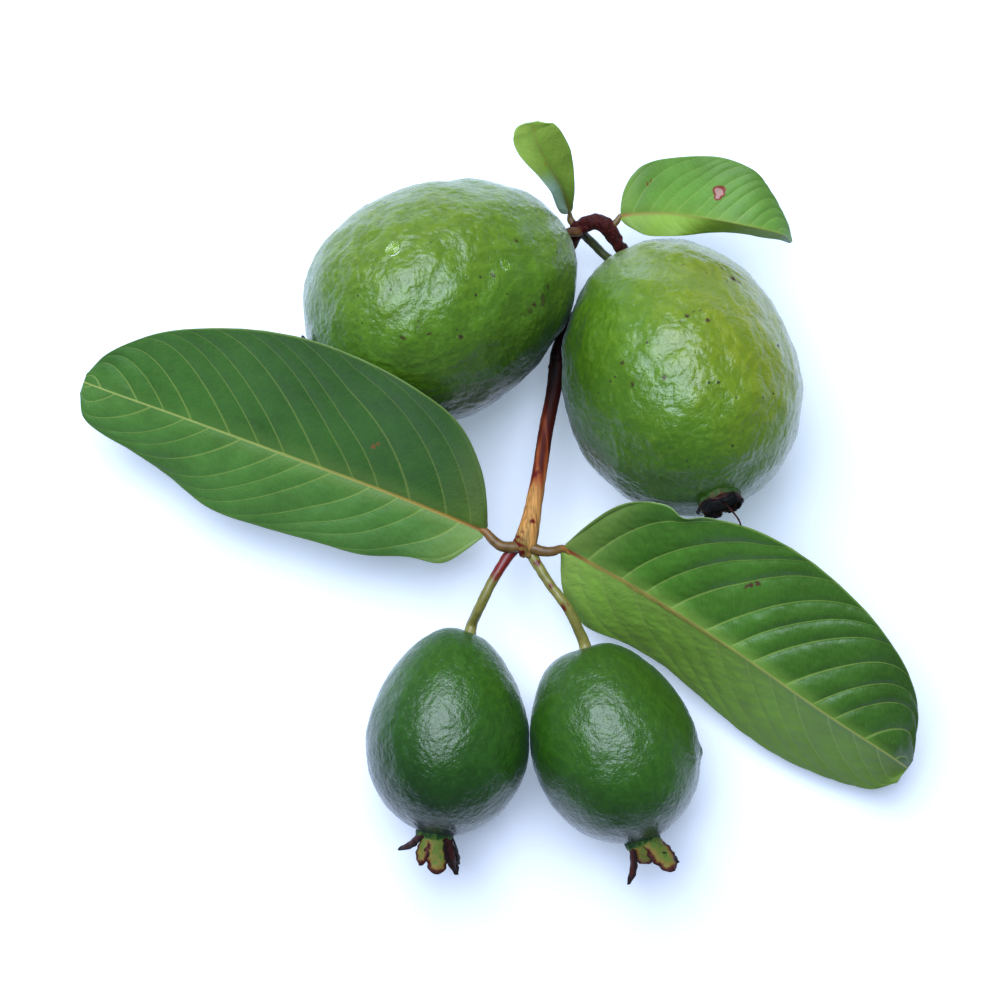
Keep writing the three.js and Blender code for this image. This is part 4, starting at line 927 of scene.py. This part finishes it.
def rib_skin(name, petiole, base, middle, tip):
    """Midrib and petiole: tough pale tissue, olive brown where it leaves the twig, orange at the blade's
    base and yellow-green towards the tip."""
    material, tree, shader = start_material(name, {"IOR": 1.45, "Roughness": 0.42})
    place = add(tree, "TexCoord").outputs["Object"]
    along = add(tree, "Attribute", attribute_name="along").outputs["Fac"]
    patch = add(tree, "TexNoise", {"Vector": place, "Scale": 1000 / 2.2, "Detail": 3.0})
    stops = ((0, petiole), (0.2, petiole), (0.3, base), (0.5, middle), (1, tip))
    tone = add(tree, "ValToRGB", {"Fac": along}, stops=stops)
    shade = add(tree, "MapRange", {"Value": patch, "From Min": 0.3, "From Max": 0.7, "To Min": 0.7,
                                   "To Max": 1.2})
    shaded = add(tree, "VectorMath", {0: tone, "Scale": shade}, operation="SCALE")
    bump = add(tree, "Bump", {"Height": patch, "Strength": 0.3, "Distance": 0.0002})
    connect(tree, shader, {"Base Color": shaded, "Normal": bump})
    return material


large_left_blade = leaf_blade("leathery_leaf_dark", "#3b6822", "#46732c", "#8ea04c", "#8a5a2a", "#a07c32",
                              "#94a050", "#6b8560", (0.38, 0.34), 0.5, "#8a5a2a", "#6a4420", 0.4)
large_right_blade = leaf_blade("leathery_leaf_quilted", "#78a236", "#42701e", "#9ab058", "#8a2a1a", "#a08240",
                               "#9aa24c", "#6b8560", (0.5, 0.22), 0.45, "#4a3018", "#3a2412", 0.5, 0.6)
small_right_blade = leaf_blade("young_leaf_spotted", "#75962f", "#5f8a33", "#8fa850", "#9a743a", "#8f8a3f",
                               "#869a42", "#9ab3a8", (0.4, 0.4), 0.6, "#7a2618", "#a87f74", 0.35)
# The young left leaf's greens are pale. This is partly its young colour and partly painted light, standing in
# for light through the thin blade where it faces away from the sky window.
small_left_blade = leaf_blade("young_leaf_streaked", "#96b648", "#98b84c", "#98aa4c", "#b8904a", "#b0a654",
                              "#a0ac50", "#a8c2b4", (0.4, 0.4), 0.25, "#a8963a", "#a88a38", 0.3)
large_rib = rib_skin("leaf_midrib_orange", "#6e5126", "#8f5f2b", "#8f7f3a", "#7f8a40")
small_rib = rib_skin("leaf_midrib_young", "#6a5228", "#86803a", "#86923f", "#86963f")

# Where each leaf is hurt: place on the blade and radius.
LARGE_LEFT_MARKS = [(-36.0, 15.4, 40.4, 0.8), (-34.6, 16.1, 41.7, 0.6), (-37.4, 15.2, 39.6, 0.4)]
LARGE_RIGHT_MARKS = [(71.2, -24.1, 43.7, 0.7), (73.2, -23.6, 44.2, 0.8), (69.8, -24.5, 43.5, 0.4)]
SMALL_RIGHT_MARKS = [(62.0, 87.2, 45.3, 1.9), (61.8, 86.0, 45.2, 1.2), (42.6, 91.0, 32.3, 0.7, 0.3),
                     (43.4, 91.7, 33.4, 0.6, 0.3)]
SMALL_LEFT_MARKS = [(11.5, 98.0, 49.0, 0.7, 0.25), (12.7, 95.2, 46.2, 0.9, 0.25),
                    (18.1, 96.2, 45.6, 0.7, 0.25), (19.6, 93.8, 41.7, 0.8, 0.25),
                    (9.8, 103.3, 55.4, 0.6, 0.2), (16.0, 92.0, 38.5, 0.8, 0.2)]

for leaf_name, leaf, skin, rib_material, marks in [
    ("leaf_large_left", LARGE_LEAF_LEFT, large_left_blade, large_rib, LARGE_LEFT_MARKS),
    ("leaf_large_right", LARGE_LEAF_RIGHT, large_right_blade, large_rib, LARGE_RIGHT_MARKS),
    ("leaf_small_right", SMALL_LEAF_RIGHT, small_right_blade, small_rib, SMALL_RIGHT_MARKS),
    ("leaf_small_left", SMALL_LEAF_LEFT, small_left_blade, small_rib, SMALL_LEFT_MARKS),
]:
    blade = make_leaf(f"{leaf_name}_blade", leaf, skin, rib_material, marks)
    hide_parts(leaf_name)


# Water drops
# Three beads of clean water left on the large left fruit. Each is a clear lens that sits on the waxy skin.
DROPS = [(-26.9, 82.6, 53.5, 1.1), (-29.4, 69.3, 64.1, 2.3), (1.3, 65.4, 59.8, 1.6)]
water, _, _ = start_material("clear_water_bead", {"IOR": 1.33, "Roughness": 0.02, "Transmission Weight": 1.0})


def bead(x, y, z, radius, rings=20, sides=40):
    """A dome and a shallow bowl below it: height is a cosine of the ring's angle, flatter under than
    over, turned to stand square to the fruit's skin, with a slightly wavy outline."""
    t = np.pi * (np.arange(rings) + 1) / (rings + 1)
    turn = 2 * np.pi * np.arange(sides) / sides
    girth = radius * np.sin(t)[:, None] * (1 + 0.07 * np.sin(2 * turn + x) + 0.04 * np.sin(3 * turn + y))
    height = (radius * np.where(t < np.pi / 2, 0.34, 0.14) * np.cos(t))[:, None] + 0 * turn
    local = np.concatenate([np.stack([girth * np.cos(turn), girth * np.sin(turn), height], -1).reshape(-1, 3),
                            [[0, 0, 0.34 * radius], [0, 0, -0.14 * radius]]])
    up = np.array([x, y, z]) - LARGE_LEFT["middle"]
    up /= np.linalg.norm(up)
    aside = np.cross(up, [0, 0, 1.0])
    aside /= np.linalg.norm(aside)
    return local @ np.stack([aside, np.cross(up, aside), up]) + [x, y, z] + 0.1 * up, ring_faces(rings, sides)


drops = put_mesh("water_beads", *join([bead(*drop) for drop in DROPS]), water)
drops.visible_shadow = False
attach(drops, "root")


# The withered style
# A dry thread that stands out of the large right fruit's crown, left over from its flower.
STYLE_ROUTE = np.array([(0.8, 0, 0.3, 0.34), (2.0, -0.4, 2.4, 0.3), (3.4, -1.4, 5.6, 0.27),
                        (3.8, -2.6, 7.4, 0.22)])
style_axes = crown_matrix(LARGE_RIGHT)
style_root = turn_matrix(LARGE_RIGHT) @ egg(LARGE_RIGHT, np.array([np.pi]), np.array([0.0]))[0]
style_root = style_root + LARGE_RIGHT["middle"]
style_route = np.column_stack([STYLE_ROUTE[:, :3] @ style_axes.T + style_root, STYLE_ROUTE[:, 3]])
style_points, style_faces, _ = tube(style_route, 10, 12)
style = put_mesh("withered_style", style_points, style_faces, old_calyx)
give_values(style, "edge", np.full(len(style_points), 0.6))
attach(style, "root")
